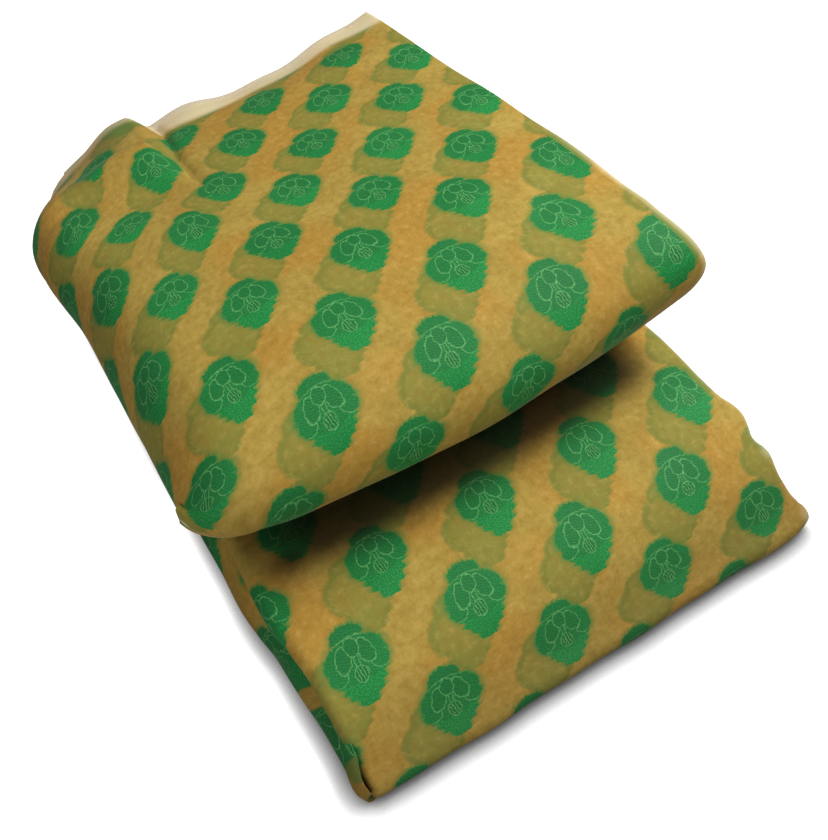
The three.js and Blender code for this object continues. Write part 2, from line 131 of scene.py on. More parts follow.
# Left side of each stretch of the covers. face: where the side faces; radius:
# of the turn over the shoulder; wrap: length of cloth beyond the shoulder;
# around: how far the turn goes on, in degrees.
NOSE_SIDE = {
    "turn": (-90, -62, -35, -5, 20, 50, 90),
    "face": (-9, -10.5, -11.5, -11, -10, -9, -9),
    "radius": (4, 12, 20, 26, 28, 34, 37),
    "wrap": (3, 14, 26, 34, 38, 48, 70),
}
TOP_SIDES = {
    "y": (34, 90, 150, 200, 242, 268, 286),
    "face": (-9, -10, -11, -16, -16, -8, -28),
    "radius": (37, 37, 32, 24, 28, 38, 62),
    "wrap": (70, 94, 92, 86, 84, 50, 14),
    "around": (90, 90, 120, 150, 140, 90, 90),
}
LOWER_SIDES = {
    "y": (-97, -84, -70, -55, -38, -22, 30, 150, 276),
    "face": (5.5, 5.2, 5.5, 5.5, 3.6, 0.8, 2.0, -3, -4),
    "radius": (3, 3.5, 4, 4.5, 5, 5, 5, 5, 4),
    "wrap": (3, 5, 8, 9, 10, 10, 10, 9, 6),
}
# Left wall of the layer on the table, rolled up and in under the lower top.
ROLLED_SIDE = {
    "y": (-104, -98, -92, -86, -76, -65, -54, -41, -28, -16, 0, 25, 60, 250, 276),
    "face": (4.5, 1.8, 0.6, 1.4, 1.4, 1.0, -0.2, -1.6, -2.6, -4.6, -5.8, -5.0, -6.5, -8, -6),
    "radius": (3.2, 4.8, 6.4, 8.2, 9.6, 11, 12.6, 14.2, 14.8, 15.2, 15.3, 15.4, 15.6, 15.6, 12),
    "around": (150, 156, 160, 162, 162, 162, 164, 165, 165, 165, 165, 165, 165, 165, 160),
}
ROLL_BULGE, ROLL_LENGTH, ROLL_FROM = 0.6, 17, (-80, -30)
UNDERSIDE_SIDE = (-4, 3, 2.5)    # face, radius and wrap
FRONT_SIDE = (5.5, 3, 3)

RIGHT_EDGE = {
    "y": (-106, -60, -20, 34, 70, 120, 200, 286),
    "lower": (240.5, 238.5, 238, 240, 241, 242, 243, 243),
    "upper": (234, 234, 234, 232.6, 233.4, 232.6, 233.5, 237.5),
}
COVER_SHORT = 1                  # the lower top stops this far inside its right edge
# How far the right edge draws in on its way round the upper front.
NOSE_RIGHT = {
    "turn": (-90, -50, -20, 12, 36, 58, 80, 90),
    "in": (1.0, 1.2, 0.4, -1.8, -2.2, 0.4, 2.2, 0.2),
}
# How far the raw right edge of the lower top draws in along its front slope.
LOWER_EDGE_NOTCHES = {
    "y": (-100, -96, -92, -88, -84, -81, -78, -75, -72, -69, -66, -63,
          -60, -57, -54, -50, -46, -42, -36, -30, -20, -12, 0),
    "in": (0, 1, 2.3, 2.5, 2.7, 2.1, 1.1, 0.6, 1.5, 3.5, 4, 2.6,
           1.1, 0.1, 0, 0.8, 2.3, 3, 3.2, 2.9, 1.6, 0.8, 0),
}

# The inner laps: where they stop, how far they stay clear of the covers, and
# how much they differ from one to the next.
INNER_FACE = -10.0
NOSE_CLEAR = LAYER + 2.4
LAP_CLEAR = LAYER + 2.2
SIDE_ROUND = 37                  # radius that the left ends follow
SIDE_CLOSES = (100, 170)         # over this run the left ends begin to draw in at their foot too
SEARCH_FROM = 14                 # a lower lap meets the front slope this far back or more
SEARCH_STEPS = np.arange(0, 110, 0.5)
LAP_Y = (60, 90, 120, 150, 180, 205, 230, 250)
LAP_LAST = 4                     # a lap that lies alone stops this far before the back
LAP_BACK_VARIES = 4
LOWER_LAP_SHORT = 3              # the folds of the lower laps lie this far before LAP_BACK
UPPER_LAP = {"front": 4, "front_varies": 1.5, "left_varies": 1.5, "back_left": 13,
             "right": 1.5, "right_varies": 2.2}
LOWER_LAP = {"left": 4, "left_varies": 2, "front_left": 8, "right": 4, "right_varies": 3}
PLY_WIDTH = 250                  # width of cloth that one ply of a lap takes up
FRAY, FRAY_SPAN = 0.5, 25        # unevenness of the plies' edges
FRAY_OF_PLY = (0.5, 0.5, 1.0, 1.0)
FRAY_COLUMNS = 3                 # columns over which it fades into the lap
PLY_TURN_STEPS = 4

# The outer face of a cover, its inner face, and the turn between them at the
# right edge.
OUTER_FACE = HALF - 0.05
INNER_PLY = 0.45
EDGE_STEPS = 5
INNER_COLUMNS = (0, 2, 5, 8)
EDGE_COLUMNS = len(INNER_COLUMNS) + EDGE_STEPS - 1
EDGE_RUNS = np.linspace(1.5 * EDGE_COLUMNS, 1, EDGE_COLUMNS)    # cloth beyond the edge
UNDER_SIDE_SHARE = 0.9           # how much of the side's fall the upper cover keeps under the back
UNDER_DRAWN_IN, UNDER_DRAWN_X = 6, (100, 240)    # how far the lower cover draws in there
RIM_LEAST, RIM_PLAIN = 0.02, 0.1    # see cloth_material

FOLD_BULGE_LEAST, FOLD_BULGE_MOST = 4.0, 4.6
LAP_FOLD_STEPS = 7
LAP_MIDDLE = 130                 # a lap that ends behind this folds at the back, others at the front

# How finely each stretch is divided.
ACROSS = np.linspace(0, 1, 101)
UPPER_DOWN = np.linspace(0, 1, 31)[1:]
LOWER_DOWN = np.linspace(0, 1, 25)[1:]
NOSE_TURNS = np.linspace(-90, 90, 61)
TOP_PLACES = np.linspace(NOSE_CENTRE, UPPER_BACK, 103)[1:]
UNDER_NOSE = np.linspace(70, NOSE_CENTRE, 9)[:-1]
UPPER_FOLDED_UNDER = np.linspace(UPPER_BACK - 1, UPPER_BACK - 19, 8)
UPPER_FOLD_STEPS = 10
TABLE_PLACES = np.concatenate([np.linspace(LOWER_BACK, 60, 28), np.linspace(56, -98, 56)])
FRONT_ANGLES = np.linspace(0.1, math.pi - 0.1, 9)
SLOPE_PARTS = np.linspace(0, 1, 45)[1:]
LOWER_PLACES = np.concatenate([np.linspace(-26, 32, 24), np.linspace(40, LOWER_BACK, 32)])
LOWER_FOLDED_UNDER = np.linspace(LOWER_BACK, LOWER_BACK - 18, 6)
LOWER_FOLD_STEPS = 8
LAP_COLUMNS = 15

# The woven figures stand in rows, every second row moved on by half a repeat.
REPEAT_ACROSS = 56.0
REPEAT_ALONG = 34.93             # from one row to the next
LOWER_ROW_POINT = (54.0, -24.0)  # where one figure of the lower cover lies
LOWER_SKEW = math.radians(3.07)

TINY = 1e-9


# ---------------------------------------------------------------- helpers
def read(table, key, column, at):
    """Smooth curve through one column of a table, read at places along its key."""
    keys = np.asarray(table[key], float)
    values = np.asarray(table[column], float)
    at = np.clip(at, keys[0], keys[-1])
    i = np.clip(np.searchsorted(keys, at, side="left") - 1, 0, len(keys) - 2)
    before = np.maximum(i - 1, 0)
    after = np.minimum(i + 2, len(keys) - 1)
    span = keys[i + 1] - keys[i]
    t = (at - keys[i]) / span
    here = (values[i + 1] - values[before]) / (keys[i + 1] - keys[before])
    there = (values[after] - values[i]) / (keys[after] - keys[i])
    return ((2 * t**3 - 3 * t**2 + 1) * values[i] + (t**3 - 2 * t**2 + t) * span * here
            + (3 * t**2 - 2 * t**3) * values[i + 1] + (t**3 - t**2) * span * there)


def lerp(a, b, t):
    return a + (b - a) * t


def rise(x, low, high):
    """0 at low, 1 at high and smooth between; low may be the larger."""
    t = np.clip((x - low) / (high - low), 0, 1)
    return t * t * (3 - 2 * t)


def fall(x, low, high):
    return 1 - rise(x, low, high)


def spot(x, y, at_x, at_y, wide, long):
    """A soft round spot, 1 in its middle."""
    return np.exp(-((x - at_x) / wide) ** 2 - ((y - at_y) / long) ** 2)


def ripple(at, *parts):
    """Waves along a line. Each part is height, length and start."""
    return sum(height * np.sin(at / length + start) for height, length, start in parts)


def height_from(table, x, y):
    left = read(table, "y", "left", y)
    middle = read(table, "y", "middle", y)
    right = read(table, "y", "right", y)
    half_width = (COLUMN_RIGHT - COLUMN_LEFT) / 2
    u = np.clip((x - COLUMN_MIDDLE) / half_width, -COLUMN_REACH, COLUMN_REACH)
    return middle + u * (right - left) / 2 + u * u * (left + right - 2 * middle) / 2


def dents_at(x, y):
    return sum(lift * spot(x, y, *where) for *where, lift in DENTS)


def lower_front_at(x):
    corner = (x - FRONT_CORNER_FROM) / (FRONT_CORNER_TO - FRONT_CORNER_FROM)
    corner = np.clip(corner, 0, FRONT_CORNER_MOST)
    straight = lerp(FRONT_LEFT, FRONT_RIGHT, x / COLUMN_RIGHT)
    return straight + FRONT_CORNER_BACK * corner**2 + ripple(x, *FRONT_RIPPLE)


def lower_top_at(x, y):
    pushed = y - (lower_front_at(x) - FRONT_STRAIGHT) * rise(-y, *FRONT_MOVES)
    return height_from(LOWER_TOP, x, pushed) - HALF


def lower_lap_at(lap, x, y):
    return lerp(HALF, lower_top_at(x, np.maximum(y, LOWER_LEVEL_FROM)), lap / (LOWER_LAPS + 1))


def underside_at(x, y):
    return lower_top_at(x, np.maximum(y, LOWER_LEVEL_FROM)) + LAYER + AIR


def upper_top_at(x, y):
    return height_from(UPPER_TOP, x, y) + dents_at(x, y) - HALF


def upper_lap_at(lap, x, y):
    deep = np.maximum(y, NOSE_CENTRE)
    return lerp(upper_top_at(x, deep), underside_at(x, deep), lap / (UPPER_LAPS + 1))


def nose_reach(x, height, thinner):
    """How far the upper front stands before NOSE_CENTRE, at a height from -1,
    its foot, to 1, its top. thinner draws it in all round."""
    reach = read(NOSE_REACH, "x", "reach", x) + read(NOSE_REACH, "x", "lean", x) * height
    curve = read(NOSE_REACH, "x", "curve", x)
    return (reach - thinner) * np.maximum(1 - height * height, 0) ** (curve / 2)


def nose_at(x, turn):
    height = math.sin(math.radians(turn))
    top = upper_top_at(x, NOSE_CENTRE)
    bottom = underside_at(x, NOSE_CENTRE)
    return NOSE_CENTRE - nose_reach(x, height, 0), (top + bottom) / 2 + (top - bottom) / 2 * height


def nose_outward(x, turn, step=2):
    y0, z0 = nose_at(x, max(turn - step, -90))
    y1, z1 = nose_at(x, min(turn + step, 90))
    length = np.hypot(y1 - y0, z1 - z0)
    return -(z1 - z0) / length, (y1 - y0) / length


def upper_lap_front(lap, x):
    """How far forward a lap may reach inside the upper front."""
    top = upper_top_at(x, NOSE_CENTRE)
    bottom = underside_at(x, NOSE_CENTRE)
    half = (top - bottom) / 2 - NOSE_CLEAR
    height = (upper_lap_at(lap, x, NOSE_CENTRE) - (top + bottom) / 2) / half
    return NOSE_CENTRE - nose_reach(x, np.clip(height, -1, 1), NOSE_CLEAR)


def lower_lap_front(lap, x):
    """Where a lap of the lower bundle meets the slope of its front."""
    ceiling = lower_lap_at(lap, x, 0) + LAP_CLEAR
    tries = lower_front_at(x)[:, None] + SEARCH_FROM + SEARCH_STEPS[None, :]
    clear = lower_top_at(np.repeat(x[:, None], tries.shape[1], axis=1), tries) >= ceiling[:, None]
    first = np.where(clear.any(axis=1), clear.argmax(axis=1), tries.shape[1] - 1)
    return tries[np.arange(len(x)), first]


def corner_rounding(x):
    return CORNER_ROUNDED * rise(-x, -CORNER_FROM, -CORNER_TO)


def inner_left_upper(y, z):
    """Left end of a lap of the upper bundle, clear of the cover's left side."""
    most = SIDE_ROUND - LAP_CLEAR
    x = COLUMN_LEFT
    top = upper_top_at(x, max(y, NOSE_CENTRE))
    bottom = underside_at(x, max(y, NOSE_CENTRE))
    half = (top - bottom) / 2
    height = (z - (top + bottom) / 2) / half
    away = abs(height)
    if height < 0 and y >= NOSE_CENTRE:
        away = away * rise(y, *SIDE_CLOSES)
    forward = max(NOSE_CENTRE - y, 0) / read(NOSE_REACH, "x", "reach", x)
    depth = np.clip(half * (1 - math.hypot(away, forward)) - LAP_CLEAR, 0, most)
    return INNER_FACE + LAP_CLEAR + most - math.sqrt(most**2 - (most - depth) ** 2)


def uneven(lap, most):
    """Small differences from lap to lap, so that no two edges lie alike."""
    return most * math.sin(2.3 * lap + 0.7) * math.cos(0.9 * lap)


# ------------------------------------------------------ rows of the strip
class Row:
    """One line across the strip. place and outward give y and z for an array
    of x; the left part turns in round the side from its shoulder."""

    def __init__(self, place, outward, right, face, radius, wrap, slide=None, around=90):
        self.place, self.outward, self.right = place, outward, right
        self.shoulder, self.radius, self.wrap = face + radius, radius, wrap
        self.slide = slide or (lambda x: 0.0 * x)
        self.around = math.radians(around)

    def points(self, across, down):
        """across runs 0 to 1 from the right edge to the shoulder, down 0 to 1
        from there to the left edge. Gives positions and the cloth's own x."""
        x = lerp(self.right, self.shoulder, across)
        y, z = self.place(x)
        flat = np.stack([x, y + 0 * x, z + 0 * x], axis=1)
        run = self.wrap * down
        angle = np.minimum(run / self.radius, self.around)
        inward = self.radius * (1 - np.cos(angle)) + run - angle * self.radius
        corner = np.full(1, self.shoulder)
        y, z = self.place(corner)
        out_y, out_z = self.outward(corner)
        moved = self.slide(self.shoulder - run) - self.slide(corner)
        side = np.stack([
            self.shoulder - self.radius * np.sin(angle),
            y - out_y * inward + moved,
            z - out_z * inward,
        ], axis=1)
        return np.concatenate([flat, side]), np.concatenate([x, self.shoulder - run])


def up(x):
    return 0 * x, 1 + 0 * x


def down(x):
    return 0 * x, -1 + 0 * x


def side_from(table, key, at, third="wrap"):
    return [float(read(table, key, column, at)) for column in ("face", "radius", third)]


def right_edge(bundle, y):
    return float(read(RIGHT_EDGE, "y", bundle, y))


def nose_rows(turns):
    drawn_in = read(NOSE_RIGHT, "turn", "in", turns)
    return [Row(lambda x, t=turn: nose_at(x, t), lambda x, t=turn: nose_outward(x, t),
                right_edge("upper", NOSE_CENTRE) - inward, *side_from(NOSE_SIDE, "turn", turn))
            for turn, inward in zip(turns, drawn_in)]


def top_rows(places):
    rows = []
    for y in places:
        def slide(x, y=y):
            return -corner_rounding(x) * rise(y, CORNER_SPREADS_FROM, UPPER_BACK)

        def place(x, y=y, slide=slide):
            at = y + slide(x)
            return at, upper_top_at(x, at)
        around = float(read(TOP_SIDES, "y", "around", y))
        rows.append(Row(place, up, right_edge("upper", y), *side_from(TOP_SIDES, "y", y), slide, around))
    return rows


def underside_rows(places):
    return [Row(lambda x, y=y: (y + 0 * x, underside_at(x, y)), down, right_edge("upper", y), *UNDERSIDE_SIDE)
            for y in places]


def lower_top_row(place, y):
    notch = float(np.interp(y, LOWER_EDGE_NOTCHES["y"], LOWER_EDGE_NOTCHES["in"]))
    right = right_edge("lower", y) - COVER_SHORT - notch
    return Row(place, up, right, *side_from(LOWER_SIDES, "y", y))


def lower_top_rows(parts, places):
    """parts run 0 to 1 from the front turn to where the top is level."""
    rows = []
    for part in parts:
        def place(x, part=part):
            y = lerp(lower_front_at(x) + FRONT_TURN, LOWER_LEVEL_FROM, part)
            return y, lower_top_at(x, y)
        rows.append(lower_top_row(place, lerp(FRONT_STRAIGHT + FRONT_TURN, LOWER_LEVEL_FROM, part)))
    for y in places:
        rows.append(lower_top_row(lambda x, y=y: (y + 0 * x, lower_top_at(x, y)), y))
    return rows


def front_turn_rows(angles):
    """Round the lower front, from the layer on the table up to the top."""
    rows = []
    for angle in angles:
        def place(x, angle=angle):
            start = lower_front_at(x) + FRONT_TURN
            top = lower_top_at(x, start)
            return start - FRONT_BULGE * math.sin(angle), lerp(HALF, top, (1 - math.cos(angle)) / 2)

        def outward(x, angle=angle):
            return -math.sin(angle) + 0 * x, -math.cos(angle) + 0 * x
        rows.append(Row(place, outward, FRONT_TURN_RIGHT, *FRONT_SIDE))
    return rows


def table_rows(places):
    """The layer on the table, with its left wall rolled up and in."""
    rows = []
    for y in places:
        face, radius, around = side_from(ROLLED_SIDE, "y", y, "around")
        bulge = ROLL_BULGE * math.sin(y / ROLL_LENGTH) * rise(y, *ROLL_FROM)
        rows.append(Row(lambda x, y=y: (y + 0 * x, HALF + 0 * x), down, right_edge("lower", y),
                        face - bulge, radius, radius * math.radians(around), around=around))
    return rows


def grid_of(rows, across, down):
    """Positions and cloth x of every row, as arrays of rows by columns."""
    laid = [row.points(across, down) for row in rows]
    return np.stack([points for points, _ in laid]), np.stack([cloth_x for _, cloth_x in laid])


def normals_of(grid):
    along = np.gradient(grid, axis=0)
    across = np.gradient(grid, axis=1)
    normal = np.cross(along, across)
    return normal / np.maximum(np.linalg.norm(normal, axis=2, keepdims=True), TINY)


def lengths_along(grid, anchor_row, anchor_value):
    """Length of cloth along each column, counted from one row."""
    steps = np.linalg.norm(np.diff(grid, axis=0), axis=2)
    total = np.concatenate([np.zeros((1, grid.shape[1])), np.cumsum(steps, axis=0)])
    return total - total[anchor_row] + anchor_value


def to_frame(points):
    """Layout millimetres to frame metres."""
    low, high = CAD_BOX
    middle = ((low[0] + high[0]) / 2, (low[1] + high[1]) / 2)
    out = np.array(points, float) * MM
    out[..., 0] += middle[0] - LAYOUT_MIDDLE[0] * MM
    out[..., 1] += middle[1] - LAYOUT_MIDDLE[1] * MM
    out[..., 2] += low[2]
    return out


# ----------------------------------------------------------------- waves
WAVE_COUNT = 9
WAVE_LENGTHS = (0.7, 1.6)        # least and most length of a wave, in sizes
WAVE_PEAK = 1.4                  # usual height of the sum, which is brought to 1
CREASE_ENDS, CREASE_TAPER = 0.04, 0.7


def waves(u, v, size, seed):
    """Smooth random undulation, about -1 to 1, with waves of about size mm."""
    rng = np.random.default_rng(seed)
    total = 0.0
    for _ in range(WAVE_COUNT):
        angle = rng.uniform(0, math.pi)
        length = size * rng.uniform(*WAVE_LENGTHS)
        phase = rng.uniform(0, 2 * math.pi)
        run = u * math.cos(angle) + v * math.sin(angle)
        total = total + np.sin(2 * math.pi * run / length + phase)
    return total / math.sqrt(WAVE_COUNT) / WAVE_PEAK


def crease(u, v, start, end, width, height):
    """A soft ridge, or a trough where height is below 0, between two points."""
    ax, ay = start
    bx, by = end
    span = (bx - ax) ** 2 + (by - ay) ** 2
    t = np.clip(((u - ax) * (bx - ax) + (v - ay) * (by - ay)) / span, 0, 1)
    away = np.hypot(u - (ax + t * (bx - ax)), v - (ay + t * (by - ay)))
    taper = np.sin(math.pi * np.clip(t, CREASE_ENDS, 1 - CREASE_ENDS)) ** CREASE_TAPER
    return height * taper * np.exp(-((away / width) ** 2))


# ----------------------------------------------------------------- meshes
BAKE_ROOM, BAKE_MARGIN = 1.02, 0.005


def add_uv_map(mesh, name, u, v, loops):
    """A map from one value of u and v for each point."""
    uv_map = mesh.uv_layers.new(name=name)
    uv = np.stack([u.reshape(-1)[loops], v.reshape(-1)[loops]], axis=1)
    uv_map.data.foreach_set("uv", uv.astype(np.float32).ravel())
    return uv_map


def runs_of(grid, axis):
    """Mean length of cloth along one axis of the grid, from its start."""
    steps = np.linalg.norm(np.diff(grid, axis=axis), axis=2).mean(axis=1 - axis)
    return np.concatenate([[0], np.cumsum(steps)])


def sheet_mesh(name, grid, cloth_u, cloth_v, material, rim=None, sunk=None):
    """A sheet from a grid of points in layout mm, with the cloth's own
    coordinates in the map "cloth" and a plain map "OFBake" over the sheet.
    rim and the painted shade are described with cloth_material."""
    count_along, count_across = grid.shape[:2]
    points = to_frame(grid.reshape(-1, 3))
    index = np.arange(count_along * count_across).reshape(count_along, count_across)
    corners = [index[:-1, :-1], index[1:, :-1], index[1:, 1:], index[:-1, 1:]]
    faces = np.stack(corners, axis=2).reshape(-1, 4)
    mesh = bpy.data.meshes.new(name)
    mesh.from_pydata(points.tolist(), [], faces.tolist())
    loops = faces.reshape(-1)
    add_uv_map(mesh, "cloth", cloth_u * MM, cloth_v * MM, loops)
    run_along, run_across = runs_of(grid, 0), runs_of(grid, 1)
    most = max(run_along[-1], run_across[-1]) * BAKE_ROOM
    bake_v, bake_u = np.meshgrid(run_along / most, run_across / most, indexing="ij")
    mesh.uv_layers.active = add_uv_map(mesh, "OFBake", bake_u + BAKE_MARGIN, bake_v + BAKE_MARGIN, loops)
    for label, values in (("rim", rim), ("sunk", sunk)):
        attribute = mesh.attributes.new(label, "FLOAT", "POINT")
        values = np.zeros(len(points)) if values is None else np.asarray(values, float).reshape(-1)
        attribute.data.foreach_set("value", values.astype(np.float32))
    mesh.polygons.foreach_set("use_smooth", [True] * len(faces))
    mesh.materials.append(material)
    mesh.update()
    piece = bpy.data.objects.new(name, mesh)
    bpy.context.scene.collection.objects.link(piece)
    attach(piece, "root")
    return piece


# ------------------------------------------------------- the cloth's pieces
# Long soft creases of the covers, in the cloth's own x and length: start, end,
# width of the crease, height (a trough where below 0).
UPPER_CREASES = (
    ((-30, 205), (70, 218), 5.0, -1.2),
    ((-20, 226), (84, 240), 6.0, 1.2),
    ((10, 254), (90, 236), 4.5, -1.0),
    ((28, 150), (92, 122), 6.0, 0.8),
    ((60, 262), (170, 268), 5.0, -0.8),
    ((150, 240), (236, 226), 6.0, 0.7),
    ((176, 30), (236, 74), 7.0, -0.8),
    ((20, 44), (96, 30), 7.0, 0.9),
    ((30, -34), (130, -52), 6.0, 0.7),
    ((140, -60), (222, -38), 7.0, -0.7),
)
LOWER_CREASES = (
    ((24, -52), (92, -30), 5.0, -0.8),
    ((96, -72), (180, -52), 6.0, 0.8),
    ((150, -30), (230, -44), 5.0, -0.7),
    ((190, -86), (236, -60), 4.0, 0.6),
)
# Height, length and seed of the undulation of each cover.
UPPER_WAVES = (0.35, 60, 11)
LOWER_WAVES = (0.25, 50, 23)


def creased(u, v, creases, undulation):
    height, size, seed = undulation
    return sum(crease(u, v, *each) for each in creases) + height * waves(u, v, size, seed)


def fold_rows(start, end, toward, steps):
    """Grid rows that carry the cloth round a fold between two laid rows."""
    rows = []
    for i in range(1, steps):
        angle = math.pi * i / steps
        row = lerp(start, end, (1 - math.cos(angle)) / 2)
        bulge = np.clip(np.abs(end[:, 2] - start[:, 2]) / 2, FOLD_BULGE_LEAST, FOLD_BULGE_MOST)
        row[:, 1] += toward * bulge * math.sin(angle)
        rows.append(row)
    return rows


def edge_turn(grid, normal, column, side, from_offset, to_offset, steps):
    """Columns that turn the cloth round an edge from one ply to the next."""
    middle, half = (from_offset + to_offset) / 2, (from_offset - to_offset) / 2
    columns = []
    for i in range(1, steps):
        angle = math.pi * i / steps
        points = grid[:, column] + normal[:, column] * (middle + half * math.cos(angle))
        columns.append(points + np.array([side * (abs(half) * math.sin(angle)), 0, 0]))
    return columns


def fold_back(grid, cloth_x, under, steps, known_row, known_length):
    """Carry a cover round its back fold to the rows under it, and count the
    cloth's own length from the row where it is known."""
    extra = np.stack(fold_rows(grid[-1], under[0], 1, steps) + under)
    grid = np.concatenate([grid, extra])
    cloth_x = np.concatenate([cloth_x, np.repeat(cloth_x[-1:], len(extra), axis=0)])
    length = lengths_along(grid, known_row, known_length)
    shoulder = len(ACROSS) - 1
    length[:, shoulder:] = length[:, shoulder:shoulder + 1]
    return grid, cloth_x, length


def cover_faces(grid, lift):
    """The middle of a cover raised by lift, and its outer face with the
    turned right edge and a strip of the inner face before it."""
    grid = grid + normals_of(grid) * lift[..., None]
    normal = normals_of(grid)
    turned = edge_turn(grid, normal, 0, 1, OUTER_FACE, INNER_PLY, EDGE_STEPS)
    inner = [grid[:, i] + normal[:, i] * INNER_PLY for i in INNER_COLUMNS]
    before = np.stack(inner[::-1] + turned[::-1], axis=1)
    return grid, np.concatenate([before, grid + normal * OUTER_FACE], axis=1)


def over_edge(values, run=0.0):
    """Values of a cover's columns, carried on over its turned edge."""
    return np.concatenate([values[:, :1] + run * np.ones(EDGE_COLUMNS), values], axis=1)


def near_edge(x, low, high):
    """1 at the right edge, fading away between two distances from it."""
    return fall(np.abs(x - x[:, EDGE_COLUMNS:EDGE_COLUMNS + 1]), low, high)


def upper_grid():
    """Middle of the upper cover: under the front, round it, back over the
    top, and round the back fold."""
    rows = underside_rows(UNDER_NOSE) + nose_rows(NOSE_TURNS) + top_rows(TOP_PLACES)
    grid, cloth_x = grid_of(rows, ACROSS, UPPER_DOWN)
    x, y, z = grid[-1].T
    side = np.minimum(z - upper_top_at(x, y), 0) * UNDER_SIDE_SHARE
    under = []
    for back in UPPER_FOLDED_UNDER:
        at = back - corner_rounding(cloth_x[-1])
        under.append(np.stack([x, at, upper_lap_at(1, x, at) + side], axis=1))
    top_of_nose = len(UNDER_NOSE) + len(NOSE_TURNS) - 1
    return fold_back(grid, cloth_x, under, UPPER_FOLD_STEPS, top_of_nose, NOSE_CENTRE)


# The raised left back corner, the tuck beside it and the ripple of the hem.
# The pairs say where each begins and ends, over the cloth's own x, the place
# across, or the length.
CORNER_LIFT, CORNER_PULL, CORNER_KEEPS = 8.5, 9.0, 0.5
CORNER_STARTS, CORNER_STOPS = (16, 58), (64, 77)
CORNER_LIFTS, CORNER_PULLS, CORNER_TURNS = (186, 240), (236, 288), (292, 306)
TUCK_X, TUCK_WIDTH, TUCK_DEPTH = 77.5, 3.0, 2.2
TUCK_SWAY, TUCK_SWAY_LENGTH = 2.5, 19
TUCK_STARTS, TUCK_STOPS = (170, 200), (284, 296)
HEM_RIPPLE, HEM_RIPPLE_LENGTH = 0.8, 7.5
HEM_STARTS, HEM_STOPS = (262, 286), (296, 306)


def raise_corner(grid, cloth_x, length):
    """Lift the loose left back corner off the laps. It stands up along a
    tuck that runs forward from the back edge."""
    across = grid[..., 0] - TUCK_SWAY * np.sin(grid[..., 1] / TUCK_SWAY_LENGTH)
    beside = rise(cloth_x, *CORNER_STARTS) * fall(across, *CORNER_STOPS)
    kept = 1 - CORNER_KEEPS * rise(length, *CORNER_TURNS)
    lift = CORNER_LIFT * beside * rise(length, *CORNER_LIFTS) * kept
    pulled = CORNER_PULL * beside * rise(length, *CORNER_PULLS) * fall(length, *CORNER_TURNS)
    tucked = TUCK_DEPTH * np.exp(-((across - TUCK_X) / TUCK_WIDTH) ** 2) * rise(length, *TUCK_STARTS)
    grid[..., 2] += lift - tucked * fall(length, *TUCK_STOPS)
    grid[..., 1] += pulled
    rippled = rise(length, *HEM_STARTS) * fall(length, *HEM_STOPS)
    grid[..., 2] += HEM_RIPPLE * np.sin(cloth_x / HEM_RIPPLE_LENGTH) * rippled
    return grid


# Where the upper cover was pushed or pulled along itself as it was laid:
# cloth x, length, wide, long, and how far the figures moved on, across and along.
UPPER_SHIFTS = (
    (200, 252, 32, 24, -3.0, -7.0),
    (86, 250, 18, 24, -1.5, -8.0),
    (36, 244, 24, 26, 1.5, -9.0),
    (60, 212, 17, 18, 1.0, -6.0),
    (2, 186, 22, 30, 0.0, 12.0),
    (46, 156, 26, 20, -1.5, -7.5),
    (122, 205, 36, 48, 2.5, 5.0),
    (84, 166, 15, 22, 1.0, 4.5),
    (4, 118, 26, 22, -1.5, 5.0),
    (14, -20, 30, 24, -2.0, -6.5),
    (6, -50, 24, 22, 0.0, 13.0),
    (118, -36, 50, 16, 0.0, -4.5),
    (216, -26, 24, 30, 2.0, 2.5),
    (170, 66, 30, 30, -1.5, -3.0),
)
# How its rows sweep: toward the left shoulder, past the tuck, and at the
# right and the middle of the front. x and length say where.
SHOULDER_SWEEP = {"x": 62, "length": (20, 140), "across": 0.09, "along": 0.2}
TUCK_SWEEP = {"x": (72, 80), "length": (168, 200), "across": 5.0}
CORNER_SWEEP = {"x": (170, 236), "length": (20, 80), "along": 7}
FRONT_SWEEP = {"x": (40, 90), "length": (20, 90), "along": 2.0}
# The low left corner of the front is also pulled askew.
ASKEW_SPOT = (4, -12, 24, 30)
ASKEW_SHIFT, ASKEW_SLOPE = 2.0, 0.42


def upper_cloth_place(cloth_x, length):
    """Place of the upper cover on the lattice of figures."""
    left = np.clip(SHOULDER_SWEEP["x"] - cloth_x, 0, SHOULDER_SWEEP["x"])
    u = cloth_x - SHOULDER_SWEEP["across"] * left * rise(length, *SHOULDER_SWEEP["length"])
    u = u - TUCK_SWEEP["across"] * fall(cloth_x, *TUCK_SWEEP["x"]) * rise(length, *TUCK_SWEEP["length"])
    v = length + SHOULDER_SWEEP["along"] * left
    for sweep in (CORNER_SWEEP, FRONT_SWEEP):
        v = v + sweep["along"] * rise(cloth_x, *sweep["x"]) * fall(length, *sweep["length"])
    for *where, across, along in UPPER_SHIFTS:
        near = spot(cloth_x, length, *where)
        u, v = u + across * near, v + along * near
    askew = ASKEW_SHIFT - ASKEW_SLOPE * (length - ASKEW_SPOT[1])
    return u + askew * spot(cloth_x, length, *ASKEW_SPOT), v


# The low left of the upper front is pressed up flat, and creases die out
# under the front and at the back.
LOW_LEFT_LIFT = 4.5
LOW_LEFT_X, LOW_LEFT_HEIGHT, LOW_LEFT_LENGTH = (4, 34), (60, 86), (-20, 20)
UPPER_CALM_BEFORE, UPPER_CALM_AFTER = (-95, -60), (276, 290)
